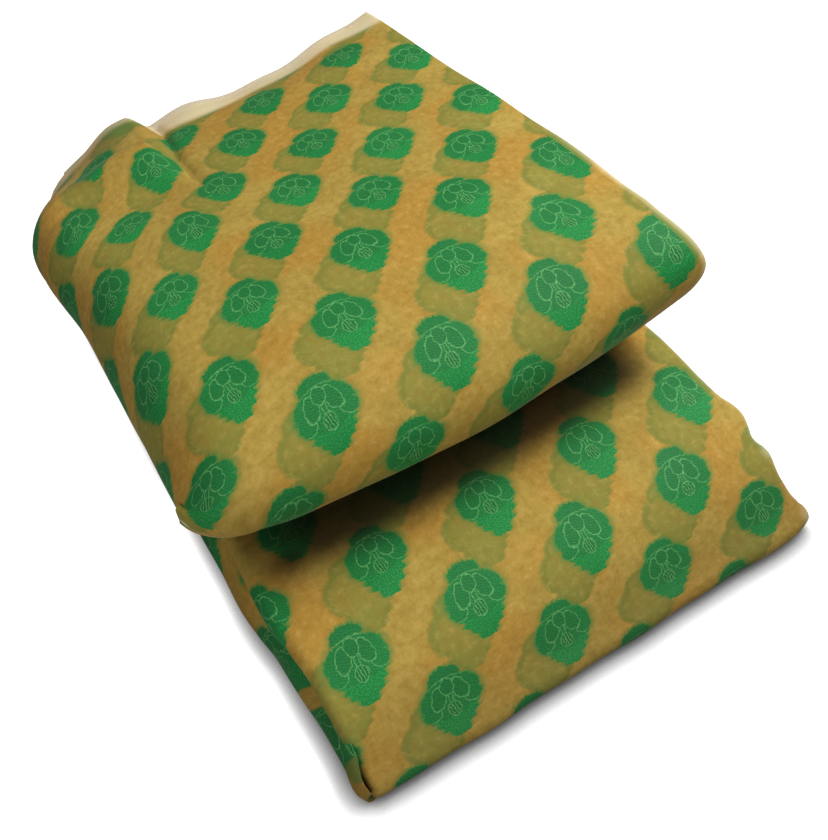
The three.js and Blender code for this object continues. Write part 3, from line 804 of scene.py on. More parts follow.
# The bare single ply along the back hem starts at a wavy line, later on the
# flap of the raised corner, and is palest at the very end.
BARE_FROM, BARE_OVER, BARE_RIPPLE = 262, 12, ((2.5, 23, 0), (1.5, 9.7, 0))
BARE_PALEST, PLAIN_OVER = (280, 288), (258, 262)
FLAP_X, FLAP_BARE_LATER, FLAP_SHADE = (62, 84), 9, 0.4
UPPER_EDGE_RIM, UPPER_EDGE_UNTIL = (0.3, 4.2), (150, 40)
# The hem that shows low at the left of the front, and the curl at its end.
LOW_HEM = {"length": -46, "width": 1.3, "x": (14, 26), "bends": (11, 22), "slope": 0.85}
LOW_CURL = (-16, -43, 3, 5)
# Painted shade on the underside of the upper front, fading out near its right edge.
UPPER_SHADE, UPPER_SHADE_X = (98 - NOSE_CENTRE, 120 - NOSE_CENTRE), (215, 234)


def build_upper_cover(material, relief):
    grid, cloth_x, length = upper_grid()
    grid = raise_corner(grid, cloth_x, length)
    low_left = fall(cloth_x, *LOW_LEFT_X) * fall(grid[..., 2], *LOW_LEFT_HEIGHT)
    grid[..., 2] += LOW_LEFT_LIFT * (low_left * fall(length, *LOW_LEFT_LENGTH))
    calm = rise(length, *UPPER_CALM_BEFORE) * fall(length, *UPPER_CALM_AFTER)
    lift = creased(cloth_x, length, UPPER_CREASES, UPPER_WAVES)
    grid, whole = cover_faces(grid, lift * calm * relief)
    u, v = over_edge(cloth_x, EDGE_RUNS), over_edge(length)

    flap = fall(u, *FLAP_X)
    start = BARE_FROM + ripple(u, *BARE_RIPPLE) + FLAP_BARE_LATER * flap
    back = rise(v, start, start + BARE_OVER) * (0.8 + 0.2 * rise(v, *BARE_PALEST)) * (1 - FLAP_SHADE * flap)
    edge = 0.6 * near_edge(whole[..., 0], *UPPER_EDGE_RIM) * rise(v, *UPPER_EDGE_UNTIL)
    bend_from, bend_to = LOW_HEM["bends"]
    bend = LOW_HEM["slope"] * np.clip(u - bend_from, 0, bend_to - bend_from)
    hem = np.exp(-(((v - LOW_HEM["length"] + bend) / LOW_HEM["width"]) ** 2)) * fall(u, *LOW_HEM["x"])
    rim = np.maximum.reduce([back, edge, 0.75 * hem, 0.8 * spot(u, v, *LOW_CURL)])
    rim = np.maximum(np.where(rim < RIM_LEAST, 0, rim), RIM_PLAIN * rise(v, *PLAIN_OVER))
    # Painted shade under the upper front, carried to the points.
    below = rise(-length, *UPPER_SHADE) * fall(cloth_x, *UPPER_SHADE_X)
    sunk = np.concatenate([np.zeros((len(grid), EDGE_COLUMNS)), 0.65 * below], axis=1)
    return sheet_mesh("upper_cover", whole, *upper_cloth_place(u, v), material, rim, sunk)


def lower_grid():
    """Middle of the lower cover: along the table, round the front, back over
    the top, and up round the back fold."""
    rows = table_rows(TABLE_PLACES) + front_turn_rows(FRONT_ANGLES)
    level_row = len(rows) + len(SLOPE_PARTS) - 1
    rows += lower_top_rows(SLOPE_PARTS, LOWER_PLACES)
    grid, cloth_x = grid_of(rows, ACROSS, LOWER_DOWN)
    x, y, z = grid[-1].T
    side = np.minimum(z - lower_top_at(x, y), 0)
    drawn_in = x - UNDER_DRAWN_IN * rise(x, *UNDER_DRAWN_X)
    under = [np.stack([drawn_in, back + 0 * x, underside_at(x, back) - side], axis=1)
             for back in LOWER_FOLDED_UNDER]
    return fold_back(grid, cloth_x, under, LOWER_FOLD_STEPS, level_row, LOWER_LEVEL_FROM)


# One row of the lower cover is pushed on, and the cloth is drawn in where it
# bends down over the front.
ROW_PUSH, ROW_PUSH_REACH = 3.2, 22
FRONT_DRAW, FRONT_DRAW_FROM = 0.0072, -80
# The rolled wall has its own place on the lattice, and moves on at the front.
WALL_LEFT, WALL_ACROSS, WALL_ALONG = -29, 15, 38
WALL_FRONT, WALL_STEP, WALL_STEP_OVER, WALL_STRETCH = -32, 28, (14, 38), 0.22


def lower_cloth_place(cloth_x, length):
    """Place of the lower cover on the lattice of figures, which lies askew."""
    x0, y0 = LOWER_ROW_POINT
    away, on = cloth_x - x0, length - y0
    turn, slope = math.cos(LOWER_SKEW), math.sin(LOWER_SKEW)
    u = away * turn - on * slope + REPEAT_ACROSS / 2
    v = away * slope + on * turn + REPEAT_ALONG
    v = v + ROW_PUSH * np.exp(-((v / ROW_PUSH_REACH) ** 2))
    return u, v - FRONT_DRAW * np.maximum(FRONT_DRAW_FROM - length, 0) ** 2


def rolled_cloth_place(cloth_x, y):
    """The same for the rolled wall of the layer on the table."""
    front = np.maximum(WALL_FRONT - y, 0)
    u = np.maximum(cloth_x, WALL_LEFT) + WALL_ACROSS + WALL_STEP * rise(front, *WALL_STEP_OVER)
    return u, y - WALL_ALONG + front * WALL_STRETCH


LOWER_CALM_BEFORE, LOWER_CALM_AFTER = (-112, -100), (-16, 0)
WALL_X, WALL_FOOT_Y = 40, -86.5
# The raw right edge of the lower top with its loose tip and loose threads.
LOWER_EDGE_RIM = (0.4, 3.2)
LOOSE_TIP, LOOSE_THREADS = (240, -106, 5, 7), (238, -75, 5, 6)
# At the left under the upper front, no figures of a ply below show.
SINGLE_STARTS, SINGLE_STOPS, SINGLE_X = (-26, -12), (30, 40), (22, 34)
# Painted shade on the lower cover: under the upper front, in the nook at its left,
# down the lower front, and in the rolled side.
NOSE_SHADE_Y, NOSE_SHADE_LEFT, NOSE_SHADE_RIGHT = (-12, 9), (-12, 40), (205, 232)
SHADE_ABOVE = 25
NOOK, NOOK_LEFT = (23, -3, 17, 11), (-2, 8)
FRONT_SHADE, FRONT_SHADE_Y = 0.36, (62, 106)
ROLL_SHADE, ROLL_SHADE_X, ROLL_SHADE_HEIGHT = 0.3, (2, 10), (22, 34)


def build_lower_cover(material, relief):
    grid, cloth_x, length = lower_grid()
    calm = rise(length, *LOWER_CALM_BEFORE) * fall(length, *LOWER_CALM_AFTER)
    lift = creased(cloth_x, length, LOWER_CREASES, LOWER_WAVES)
    grid, whole = cover_faces(grid, lift * calm * relief)
    wall = (np.arange(len(grid))[:, None] < len(TABLE_PLACES)) & (cloth_x < WALL_X)
    u, v = [np.where(wall, rolled, flat) for rolled, flat in zip(
        rolled_cloth_place(cloth_x, grid[..., 1]), lower_cloth_place(cloth_x, length))]
    x, y, z = whole[..., 0], whole[..., 1], whole[..., 2]
    foot = wall & (grid[..., 1] < WALL_FOOT_Y)
    plain = np.concatenate([np.zeros((len(grid), EDGE_COLUMNS)), RIM_PLAIN * foot], axis=1)
    rim = np.maximum.reduce([0.4 * near_edge(x, *LOWER_EDGE_RIM), 0.7 * spot(x, y, *LOOSE_TIP),
                             0.6 * spot(x, y, *LOOSE_THREADS), plain])
    single = rise(y, *SINGLE_STARTS) * fall(y, *SINGLE_STOPS) * fall(x, *SINGLE_X)
    rim = np.where(rim < RIM_LEAST, -single, rim)

    # Painted shade: dark under the upper front and in the nook at its left, lighter down the lower front and
    # in the rolled side.
    nose = NOSE_CENTRE - read(NOSE_REACH, "x", "reach", x)
    before, behind = NOSE_SHADE_Y
    under_nose = rise(y, nose + before, nose + behind) * rise(x, *NOSE_SHADE_LEFT)
    under_nose = under_nose * fall(x, *NOSE_SHADE_RIGHT)
    nook = spot(x, y, *NOOK) * rise(x, *NOOK_LEFT)
    down_front = FRONT_SHADE * rise(-y, *FRONT_SHADE_Y)
    rolled_in = ROLL_SHADE * fall(x, *ROLL_SHADE_X) * fall(z, *ROLL_SHADE_HEIGHT) * (1 - down_front)
    high = z > SHADE_ABOVE
    sunk = np.maximum.reduce([0.9 * (under_nose * high), 0.88 * (nook * high), down_front + rolled_in])
    return sheet_mesh("lower_cover", whole, over_edge(u, EDGE_RUNS), over_edge(v), material, rim, sunk)


def lay_lap(lap, front, back, height_at, ends):
    """Rows of a flat lap, front to back. front and back give y from x; ends
    gives the right and left end of a line from its number, y and z."""
    rows = []
    for number, line in enumerate([front, *(lambda x, y=y: y + 0 * x for y in LAP_Y), back]):
        x = np.array([COLUMN_LEFT])
        y = line(x)
        right, left = ends(number, float(y[0]), float(height_at(lap, x, y)[0]))
        x = lerp(right, left, np.linspace(0, 1, LAP_COLUMNS))
        y = line(x)
        rows.append(np.stack([x, y, height_at(lap, x, y)], axis=1))
    return rows


def lap_back(lap, last, back):
    """Where a lap ends at the back. Lap 1 lies alone there, then each two
    share a fold."""
    return last - LAP_LAST if lap == 1 else back + uneven(lap // 2, LAP_BACK_VARIES)


def upper_lap_rows(lap):
    pair = math.ceil(lap / 2)
    back = lap_back(lap, UPPER_BACK, LAP_BACK)

    def front_at(x):
        nearer = np.maximum(upper_lap_front(2 * pair - 1, x), upper_lap_front(2 * pair, x))
        return nearer + UPPER_LAP["front"] + uneven(pair, UPPER_LAP["front_varies"])

    def ends(number, y, z):
        right = right_edge("upper", y) - UPPER_LAP["right"] + uneven(lap, UPPER_LAP["right_varies"])
        left = float(inner_left_upper(y, z)) + abs(uneven(lap, UPPER_LAP["left_varies"]))
        return right, left + (UPPER_LAP["back_left"] if number > len(LAP_Y) else 0)
    return lay_lap(lap, front_at, lambda x: back - corner_rounding(x), upper_lap_at, ends)


def lower_lap_rows(lap):
    pair = math.ceil(lap / 2)
    back = lap_back(lap, LOWER_BACK, LAP_BACK - LOWER_LAP_SHORT)

    def ends(number, y, z):
        right = right_edge("lower", y) - LOWER_LAP["right"] + uneven(lap, LOWER_LAP["right_varies"])
        left = LOWER_LAP["left"] + uneven(lap + 2, LOWER_LAP["left_varies"])
        return right, left + (LOWER_LAP["front_left"] if number == 0 else 0)
    return lay_lap(lap, lambda x: lower_lap_front(2 * pair, x), lambda x: back + 0 * x, lower_lap_at, ends)


# Name, rows of a lap, order of the laps from the top of the bundle down, half
# of a lap's thickness, and seed.
LAPS = (
    ("upper_laps", upper_lap_rows, range(1, UPPER_LAPS + 1), 2.2, 5),
    ("lower_laps", lower_lap_rows, range(LOWER_LAPS, 0, -1), 2.0, 8),
)


def build_laps(name, lap_rows, order, spread, seed, material):
    """Laps joined by folds, each four plies thick and with its rows from the
    right edge to the left. Gives the piece and the length of its strip."""
    rows = []
    for number, lap in enumerate(order):
        laid = lap_rows(lap)[::-1 if number % 2 == 0 else 1]
        if rows:
            toward = 1 if rows[-1][:, 1].mean() > LAP_MIDDLE else -1
            rows += fold_rows(rows[-1], laid[0], toward, LAP_FOLD_STEPS)
        rows += laid
    grid = np.stack(rows)
    normal = normals_of(grid)
    length = lengths_along(grid, 0, 0)
    wave = np.cumsum(np.random.default_rng(seed).normal(0, FRAY, len(rows)))
    wave = wave - np.convolve(wave, np.ones(FRAY_SPAN) / FRAY_SPAN, mode="same")
    columns, cloth_u = [], []
    count = grid.shape[1]
    offsets = (spread, spread / 3, -spread / 3, -spread)
    for ply, offset in enumerate(offsets):
        to_left = ply % 2 == 1
        fray = wave * FRAY_OF_PLY[ply]
        for i in range(count)[::1 if to_left else -1]:
            points = grid[:, i] + normal[:, i] * offset
            points[:, 0] += fray * max(0.0, 1 - i / FRAY_COLUMNS)
            columns.append(points)
            cloth_u.append(ply * PLY_WIDTH + (i if to_left else count - i) * PLY_WIDTH / count)
        if ply < len(offsets) - 1:
            edge, side = (count - 1, -1) if to_left else (0, 1)
            for points in edge_turn(grid, normal, edge, side, offset, offsets[ply + 1], PLY_TURN_STEPS):
                points[:, 0] += fray * (edge == 0)
                columns.append(points)
                cloth_u.append(cloth_u[-1] + 1)
    whole = np.stack(columns, axis=1)
    u = np.repeat(np.array(cloth_u)[None, :], len(rows), axis=0)
    v = np.repeat(length.mean(axis=1)[:, None], whole.shape[1], axis=1)
    return sheet_mesh(name, whole, u, v, material), float(length[-1].mean())


# -------------------------------------------------------------- materials
def shade(*screen):
    """A colour given in 0-255 screen values, as linear light."""
    parts = [part / 255 for part in screen]
    return (*(part / 12.92 if part <= 0.04045 else ((part + 0.055) / 1.055) ** 2.4 for part in parts), 1.0)


class Signal:
    """A number in a node tree. Arithmetic on it adds the nodes that work it out."""

    def __init__(self, tree, socket):
        self.tree, self.socket = tree, socket

    def worked(self, operation, *others):
        node = self.tree.nodes.new("ShaderNodeMath")
        node.operation = operation
        for entry, value in zip(node.inputs, (self, *others)):
            if isinstance(value, Signal):
                self.tree.links.new(value.socket, entry)
            else:
                entry.default_value = value
        return Signal(self.tree, node.outputs[0])

    def __rsub__(self, other):
        return self.worked("MULTIPLY_ADD", -1.0, other)

    def step(self, low, high):
        """0 below low, 1 above high and smooth between; low may be the larger."""
        node = self.tree.nodes.new("ShaderNodeMapRange")
        node.interpolation_type = "SMOOTHSTEP"
        turned = low > high
        node.inputs["From Min"].default_value = min(low, high)
        node.inputs["From Max"].default_value = max(low, high)
        node.inputs["To Min"].default_value = 1.0 if turned else 0.0
        node.inputs["To Max"].default_value = 0.0 if turned else 1.0
        self.tree.links.new(self.socket, node.inputs["Value"])
        return Signal(self.tree, node.outputs["Result"])


for method, operation in (
        ("__add__", "ADD"), ("__radd__", "ADD"), ("__mul__", "MULTIPLY"), ("__rmul__", "MULTIPLY"),
        ("__sub__", "SUBTRACT"), ("__truediv__", "DIVIDE"), ("most", "MAXIMUM"), ("least", "MINIMUM"),
        ("size", "ABSOLUTE"), ("whole", "FLOOR"), ("part", "FRACT"), ("power", "POWER")):
    setattr(Signal, method, lambda self, *others, work=operation: self.worked(work, *others))


def length_of(a, b):
    return (a * a + b * b).power(0.5)


def oval(x, y, at_x, at_y, half_wide, half_long):
    """About how far inside an oval a place lies, in mm."""
    away = length_of((x - at_x) / half_wide, (y - at_y) / half_long)
    return (1.0 - away) * min(half_wide, half_long)


# Ovals of the figure: middle and half sizes, in mm. A petal stands on each side.
BODY = (0.0, 2.0, 13.7, 9.7)
PETAL = (5.0, 3.8, 3.2, 5.4)
BUD = (0.0, 7.2, 3.0, 3.9)
SEED = (0.0, -4.3, 2.9, 3.5)
HOOK_ACROSS, HOOK_BELOW, HOOK_RADIUS = 9.5, 1.5, 4.1
HOOD_TOP, HOOD_HALF_WIDTH, HOOD_SHOULDER, HOOD_FOOT = 16.6, 7.7, 11.2, 9.2
LEAF_HALF_WIDTH, LEAF_TAPER = 11.2, 1.7
LEAF_BELOW, LEAF_TAPERS_BELOW, LEAF_LENGTH, LEAF_TIP = 1.5, 3.0, 16.4, 19.4
STEM_HALF_WIDTH = 0.9
OUTLINE = (0.36, 0.05)           # an outline fades from one distance to the other
PARTED = (0.1, -0.1)             # how one part hides the outlines below it
FILLED = (-0.1, 0.2)             # how a part fills in at its edge


def teeth(along):
    """A toothed run, 0 in the notches and 0.5 at the tips."""
    return (along.part() - 0.5).size()


def figure_group():
    """The woven figure: a hooded bud between curled petals on a toothed leaf.
    Takes a place in mm from its middle, y toward the bud, and gives how far
    inside the outline it lies and how strongly each part shows there."""
    if "woven_figure" in bpy.data.node_groups:
        return bpy.data.node_groups["woven_figure"]
    tree = bpy.data.node_groups.new("woven_figure", "ShaderNodeTree")
    for direction, names in (("INPUT", ("x", "y")), ("OUTPUT", ("inside", "petal", "line", "hatch"))):
        for name in names:
            tree.interface.new_socket(name=name, in_out=direction, socket_type="NodeSocketFloat")
    entry = tree.nodes.new("NodeGroupInput")
    result = tree.nodes.new("NodeGroupOutput")
    y = Signal(tree, entry.outputs["y"])
    x = Signal(tree, entry.outputs["x"]) - y * 0.04
    across = x.size()

    body = oval(across, y, *BODY)
    petals = oval(across * (y * 0.03 + 0.88), y, *PETAL)
    bud, seed = oval(across, y, *BUD), oval(across, y, *SEED)
    hook = (length_of(across - HOOK_ACROSS, y + HOOK_BELOW) - HOOK_RADIUS) * -1.0
    hood = HOOD_TOP - teeth(across / 2.2 + 0.3) * 1.2 - across * across * 0.05 - y
    hood = hood.least(HOOD_HALF_WIDTH - across - (y - HOOD_SHOULDER).most(0.0) * 0.35)
    hood = hood.least(y - HOOD_FOOT - across * 0.2)
    down = ((y * -1.0 - LEAF_TAPERS_BELOW) / LEAF_LENGTH).most(0.0).least(1.0)
    leaf_teeth = ((y * -0.36 + across * 0.1 + 0.5).part() - 0.45) * 2.2
    curved = x + (y + 8.0).least(0.0) * -0.1
    leaf = (1.0 - down.power(LEAF_TAPER)) * LEAF_HALF_WIDTH + leaf_teeth - curved.size()
    leaf = leaf.least((y + LEAF_TIP) * 0.9).least(LEAF_BELOW - y)
    inside = body.most(hook).most(hood).most(leaf)

    petal = petals.most(bud).step(*FILLED).most(body.most(hook).step(*FILLED) * 0.7)
    petal = petal.most(hood.step(*FILLED) * 0.85)
    stripes = teeth(x * 0.78 + y * 0.1).step(0.24, 0.12) * seed.step(0.25, 0.55)
    stem = (across - STEM_HALF_WIDTH).size().step(*OUTLINE) * y.step(-1.6, -0.8) * y.step(3.9, 3.4)
    line = bud.size().step(*OUTLINE)
    for drawn in (
            petals.size().step(*OUTLINE) * bud.step(*PARTED),
            hook.size().step(*OUTLINE) * y.step(1.4, 0.2) * petals.step(*PARTED),
            (body - 0.3).size().step(*OUTLINE) * across.step(8.5, 7.5) * y.step(8.6, 9.4),
            seed.size().step(*OUTLINE),
            stem * petals.step(*PARTED),
            stripes * 0.9):
        line = line.most(drawn)
    line = line * inside.step(0.1, 0.5)
    fine = teeth(x * 0.3 + y * 0.8).step(0.1, 0.4) * petal
    hatch = fine * 0.8 + seed.step(-0.1, 0.3) * (1.0 - stripes) * 0.7
    for name, value in (("inside", inside), ("petal", petal), ("line", line), ("hatch", hatch)):
        tree.links.new(value.socket, result.inputs[name])
    return tree


def figure_at(tree, x, y):
    node = tree.nodes.new("ShaderNodeGroup")
    node.node_tree = figure_group()
    tree.links.new(x.socket, node.inputs["x"])
    tree.links.new(y.socket, node.inputs["y"])
    return {output.name: Signal(tree, output) for output in node.outputs}


def nearest_figure(u, v, across, along):
    """Place in mm from the middle of the nearest figure of the lattice, with
    figures across apart in a row and rows along apart."""
    row = (v / along + 0.5).whole()
    moved = u - (row * 0.5).part() * across
    column = (moved / across + 0.5).whole()
    return moved - column * across, v - row * along


def noise(tree, vector, scale, detail=2.0, roughness=0.5, stretch=(1, 1, 1)):
    """Smooth random pattern over the cloth, about 0.5 in the middle."""
    mapping = tree.nodes.new("ShaderNodeMapping")
    mapping.inputs["Scale"].default_value = stretch
    tree.links.new(vector, mapping.inputs["Vector"])
    node = tree.nodes.new("ShaderNodeTexNoise")
    node.noise_dimensions = "2D"
    for setting, value in (("Scale", scale), ("Detail", detail), ("Roughness", roughness)):
        node.inputs[setting].default_value = value
    tree.links.new(mapping.outputs[0], node.inputs["Vector"])
    return Signal(tree, node.outputs["Fac"])


def blend(tree, factor, first, second):
    """Colour first where factor is 0, second where it is 1."""
    node = tree.nodes.new("ShaderNodeMix")
    node.data_type = "RGBA"
    tree.links.new(factor.socket, node.inputs["Factor"])
    for entry, value in ((node.inputs["A"], first), (node.inputs["B"], second)):
        if isinstance(value, tuple):
            entry.default_value = value
        else:
            tree.links.new(value, entry)
    return node.outputs["Result"]


def point_value(tree, name):
    node = tree.nodes.new("ShaderNodeAttribute")
    node.attribute_name = name
    return Signal(tree, node.outputs["Fac"])


# Patches per metre of the random patterns over the cloth.
WANDER, WANDER_MORE, DRIFT, DRIFT_MORE = 420, 520, 9, 8
CLOUDS, BROAD_CLOUDS, FIBRES, MOTTLE = 60, 19, 150, 260
THREADS, SPECKLE, STITCHES = 1500, 1300, 1100
OTHER_WAY = (1, -1, 1)           # a stretch that gives a second, unlike pattern
ALONG_THREADS = ((0.25, 1, 1), (1, 0.25, 1))
# How far the outlines wander, and how far the figure below lies moved on and
# drifts, in mm.
FIGURE_WANDERS, BELOW_WANDERS = 1.3, 0.5
BELOW_ACROSS, BELOW_ALONG, BELOW_DRIFT = 12.5, 10.2, 8
BUMP_STRENGTH, BUMP_HEIGHT = 0.35, 0.00025
SHEEN_TINT = (1.0, 0.93, 0.75, 1)


def cloth_material(name, settings, under=1.0, sheer_rim=False):
    """Sheer tan cloth with green woven figures. under is how strongly the
    figures of the ply below show through. With sheer_rim the points' own
    "rim" and painted shade count. rim: about 0.1 leaves the figures out, up to 1 is a
    bare single ply, and below 0 nothing lies under the cloth. The painted
    shade darkens the colour toward the crevice tone where shade falls."""
    tones = {tone: tuple(getattr(settings, tone)) for tone in TONES}
    repeat = (settings.repeat_across / MM, settings.repeat_along / MM)
    material = bpy.data.materials.new(name)
    material.use_nodes = True
    tree = material.node_tree
    shader = tree.nodes["Principled BSDF"]
    place = tree.nodes.new("ShaderNodeUVMap")
    place.uv_map = "cloth"
    cloth = place.outputs["UV"]
    split = tree.nodes.new("ShaderNodeSeparateXYZ")
    tree.links.new(cloth, split.inputs[0])
    u, v = [Signal(tree, split.outputs[axis]) * 1000.0 for axis in ("X", "Y")]

    def tinted(base, amount, tone):
        return blend(tree, amount, base, tones[tone])

    # Threads make the outlines a little uneven.
    wander = noise(tree, cloth, WANDER, 1.0) - 0.5
    wander_more = noise(tree, cloth, WANDER_MORE, 1.0, stretch=OTHER_WAY) - 0.5
    x, y = nearest_figure(u + wander * FIGURE_WANDERS, v + wander_more * FIGURE_WANDERS, *repeat)
    figure = figure_at(tree, x, y)
    drift = (noise(tree, cloth, DRIFT, 0.0) - 0.5) * BELOW_DRIFT
    drift_more = (noise(tree, cloth, DRIFT_MORE, 0.0, stretch=OTHER_WAY) - 0.5) * BELOW_DRIFT
    x, y = nearest_figure(u + wander * BELOW_WANDERS + drift + BELOW_ACROSS,
                          v + wander_more * BELOW_WANDERS + drift_more + BELOW_ALONG, *repeat)
    below = figure_at(tree, x, y)

    cloudy = noise(tree, cloth, CLOUDS, 4.0, 0.6)
    broad = noise(tree, cloth, BROAD_CLOUDS, 1.5)
    fibres = (noise(tree, cloth, FIBRES, 3.0, 0.65) - 0.5).size().step(0.06, 0.0)
    mottle = noise(tree, cloth, MOTTLE, 4.0, 0.62)
    uneven_edge = mottle - 0.5
    warp, weft = [noise(tree, cloth, THREADS, 1.0, stretch=run) for run in ALONG_THREADS]
    threads = warp + weft

    if sheer_rim:
        bare = point_value(tree, "rim")
        under = bare.step(-0.8, -0.1) * under
    shadow = below["inside"].step(-1.8, 1.4) * (cloudy * 0.5 + 0.6 - below["petal"] * 0.14)
    ring = below["inside"].size().step(2.2, 0.3) * 0.66
    ground = blend(tree, cloudy.step(0.3, 0.7) * 0.7 + 0.3, tones["dark"], tones["light"])
    for amount, tone in (
            (broad.step(0.38, 0.66) * 0.7, "warm"),
            (shadow.least(0.95) * under, "below"),
            (ring * under, "ring"),
            (mottle.step(0.5, 0.74) * (0.45 - shadow.least(1.0) * 0.22), "pale"),
            (mottle.step(0.5, 0.28) * 0.4 + fibres * 0.16, "dim"),
            ((figure["inside"] + uneven_edge * 4.0).step(-3.1, 0.5) * 0.82, "halo")):
        ground = tinted(ground, amount, tone)

    speckle = noise(tree, cloth, SPECKLE, 1.0).step(0.46, 0.62) * 0.6
    stitches = noise(tree, cloth, STITCHES, 1.0, stretch=OTHER_WAY).step(0.34, 0.6) * 0.55 + 0.45
    green = blend(tree, figure["petal"], tones["leaf"], tones["petal"])
    for amount, tone in (
            (speckle * (1.0 - figure["petal"] * 0.55), "speck"),
            (figure["hatch"] * 0.55, "hatch"),
            (broad.step(0.3, 0.7) * 0.3, "deep"),
            (figure["line"] * (threads * 0.5 + 0.14) * stitches, "line")):
        green = tinted(green, amount, tone)

    mask = (figure["inside"] + uneven_edge * 1.6).step(-0.75, 0.5)
    if sheer_rim:
        mask = mask * bare.step(0.09, 0.02)
    colour = blend(tree, mask, ground, green)
    colour = tinted(colour, (threads - 1.0).size().step(0.0, 0.35) * 0.16 * (1.0 - mask * 0.75), "grain")
    if sheer_rim:
        colour = tinted(colour, bare.step(0.14, 1.0) * 0.9, "rim")
        # Painted shade: the points' painted shade darkens the colour toward the crevice tone.
        colour = tinted(colour, point_value(tree, "sunk"), "sunk")
        tree.links.new((1.0 - bare.step(0.8, 1.0) * 0.3).socket, shader.inputs["Alpha"])
    tree.links.new(colour, shader.inputs["Base Color"])

    weave = threads * 0.5 + mask * 0.55 + figure["line"] * 0.4 * mask - figure["hatch"] * 0.25 * mask
    bump = tree.nodes.new("ShaderNodeBump")
    bump.inputs["Strength"].default_value = BUMP_STRENGTH
    bump.inputs["Distance"].default_value = BUMP_HEIGHT
    tree.links.new(weave.socket, bump.inputs["Height"])
    tree.links.new(bump.outputs["Normal"], shader.inputs["Normal"])
    tree.links.new((0.66 - mask * 0.12 + threads * 0.05).socket, shader.inputs["Roughness"])
    for finish, value in (("Specular IOR Level", 0.12), ("Sheen Weight", 0.1),
                          ("Sheen Roughness", 0.25), ("Sheen Tint", SHEEN_TINT)):
        shader.inputs[finish].default_value = value
    return material


# --------------------------------------------------------------- settings
def colour(name, description, *screen):
    return FloatVectorProperty(name=name, description=description, subtype="COLOR", size=4,
                               min=0.0, max=1.0, default=shade(*screen))


def distance(name, description, default, least):
    return FloatProperty(name=name, description=description, default=default, min=least,
                         unit="LENGTH", subtype="DISTANCE")


def power(name, description, default):
    return FloatProperty(name=name, description=description, default=default, min=0.0, unit="POWER")


class ClothSettings(bpy.types.PropertyGroup):
    """Sizes and colours of the cloth"""
    relief: FloatProperty(name="Relief", description="Strength of the soft creases",
                          default=1.0, min=0.0, max=2.0, subtype="FACTOR")
    repeat_across: distance("Repeat across", "From one figure to the next in a row", REPEAT_ACROSS * MM, 0.03)
    repeat_along: distance("Repeat along", "From one row of figures to the next", REPEAT_ALONG * MM, 0.03)
    dark: colour("Ground, dark", "Darker clouds of the plain cloth", 154, 128, 54)
    light: colour("Ground, light", "Lighter clouds of the plain cloth", 172, 146, 68)
    warm: colour("Ground, warm", "Broad warm clouds of the plain cloth", 174, 128, 50)
    pale: colour("Specks, pale", "Pale specks of the plain cloth", 190, 158, 88)
    dim: colour("Specks, dark", "Dark specks and loose fibres of the plain cloth", 136, 108, 42)
    grain: colour("Weave", "Grain of the threads", 124, 104, 46)
    below: colour("Figure below", "Figure of the ply below, showing through", 122, 126, 54)
    ring: colour("Figure below, edge", "Outline of the figure below", 104, 118, 48)
    halo: colour("Figure halo", "Float ends round a figure, seen through the cloth", 92, 122, 54)
    leaf: colour("Leaf", "Toothed leaf of the figure", 20, 122, 56)
    petal: colour("Petals", "Petals and hood of the figure", 32, 116, 58)
    speck: colour("Leaf threads", "Bright threads in the leaf", 58, 154, 82)
    hatch: colour("Petal hatching", "Dark hatching in petals and seed", 16, 84, 40)
    deep: colour("Figure, deep", "Broad darker clouds over the figures", 8, 92, 42)
    line: colour("Outlines", "Pale outlines inside a figure", 112, 178, 108)
    rim: colour("Edge", "Single ply at the edges", 232, 212, 172)
    # The crevice tone is the colour of painted shade: between the bundles, under the upper front, down the
    # lower front and in the rolled side.
    sunk: colour("Crevice", "Deep shade between the bundles", 24, 18, 10)


TONES = ("dark", "light", "warm", "pale", "dim", "grain", "below", "ring", "halo", "leaf",
         "petal", "speck", "hatch", "deep", "line", "rim", "sunk")


class StageSettings(bpy.types.PropertyGroup):
    """Light and floor"""
    key_power: power("Overhead lamp", "Power of the overhead lamp", 9.6)
    key_size: distance("Overhead lamp size", "Width of the overhead lamp", 0.75, 0.01)
    side_power: power("Side lamp", "Power of the low lamp at the front left", 1.6)
    side_size: distance("Side lamp size", "Width of the low lamp at the front left", 0.6, 0.01)
    contact: distance("Contact shade", "Reach of the floor shade round the cloth", 0.0115, 0.001)
    fill: FloatProperty(name="Surround", description="Strength of the even light all round",
                        default=0.22, min=0.0)


class BuildUpperCover(bpy.types.Operator):
    """Lay the outermost ply of the upper bundle"""
    bl_idname = "fabric.upper_cover"
    bl_label = "Upper cover"

    def execute(self, context):
        settings = context.scene.cloth_settings
        piece = build_upper_cover(cloth_material("cloth_upper", settings, sheer_rim=True), settings.relief)
        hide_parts("fabric")
        return {"FINISHED"}


class BuildLowerCover(bpy.types.Operator):
    """Lay the outermost ply of the lower bundle"""
    bl_idname = "fabric.lower_cover"
    bl_label = "Lower cover"

    def execute(self, context):
        settings = context.scene.cloth_settings
        piece = build_lower_cover(cloth_material("cloth_lower", settings, sheer_rim=True), settings.relief)
        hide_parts("fabric")
        return {"FINISHED"}


class BuildLaps(bpy.types.Operator):
    """Lay the inner laps of both bundles"""
    bl_idname = "fabric.laps"
    bl_label = "Inner laps"

    def execute(self, context):
        for name, *lap_plan in LAPS:
            material = cloth_material("cloth_" + name, context.scene.cloth_settings, under=0.5)
            piece, length = build_laps(name, *lap_plan, material)
            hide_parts("fabric")
        return {"FINISHED"}


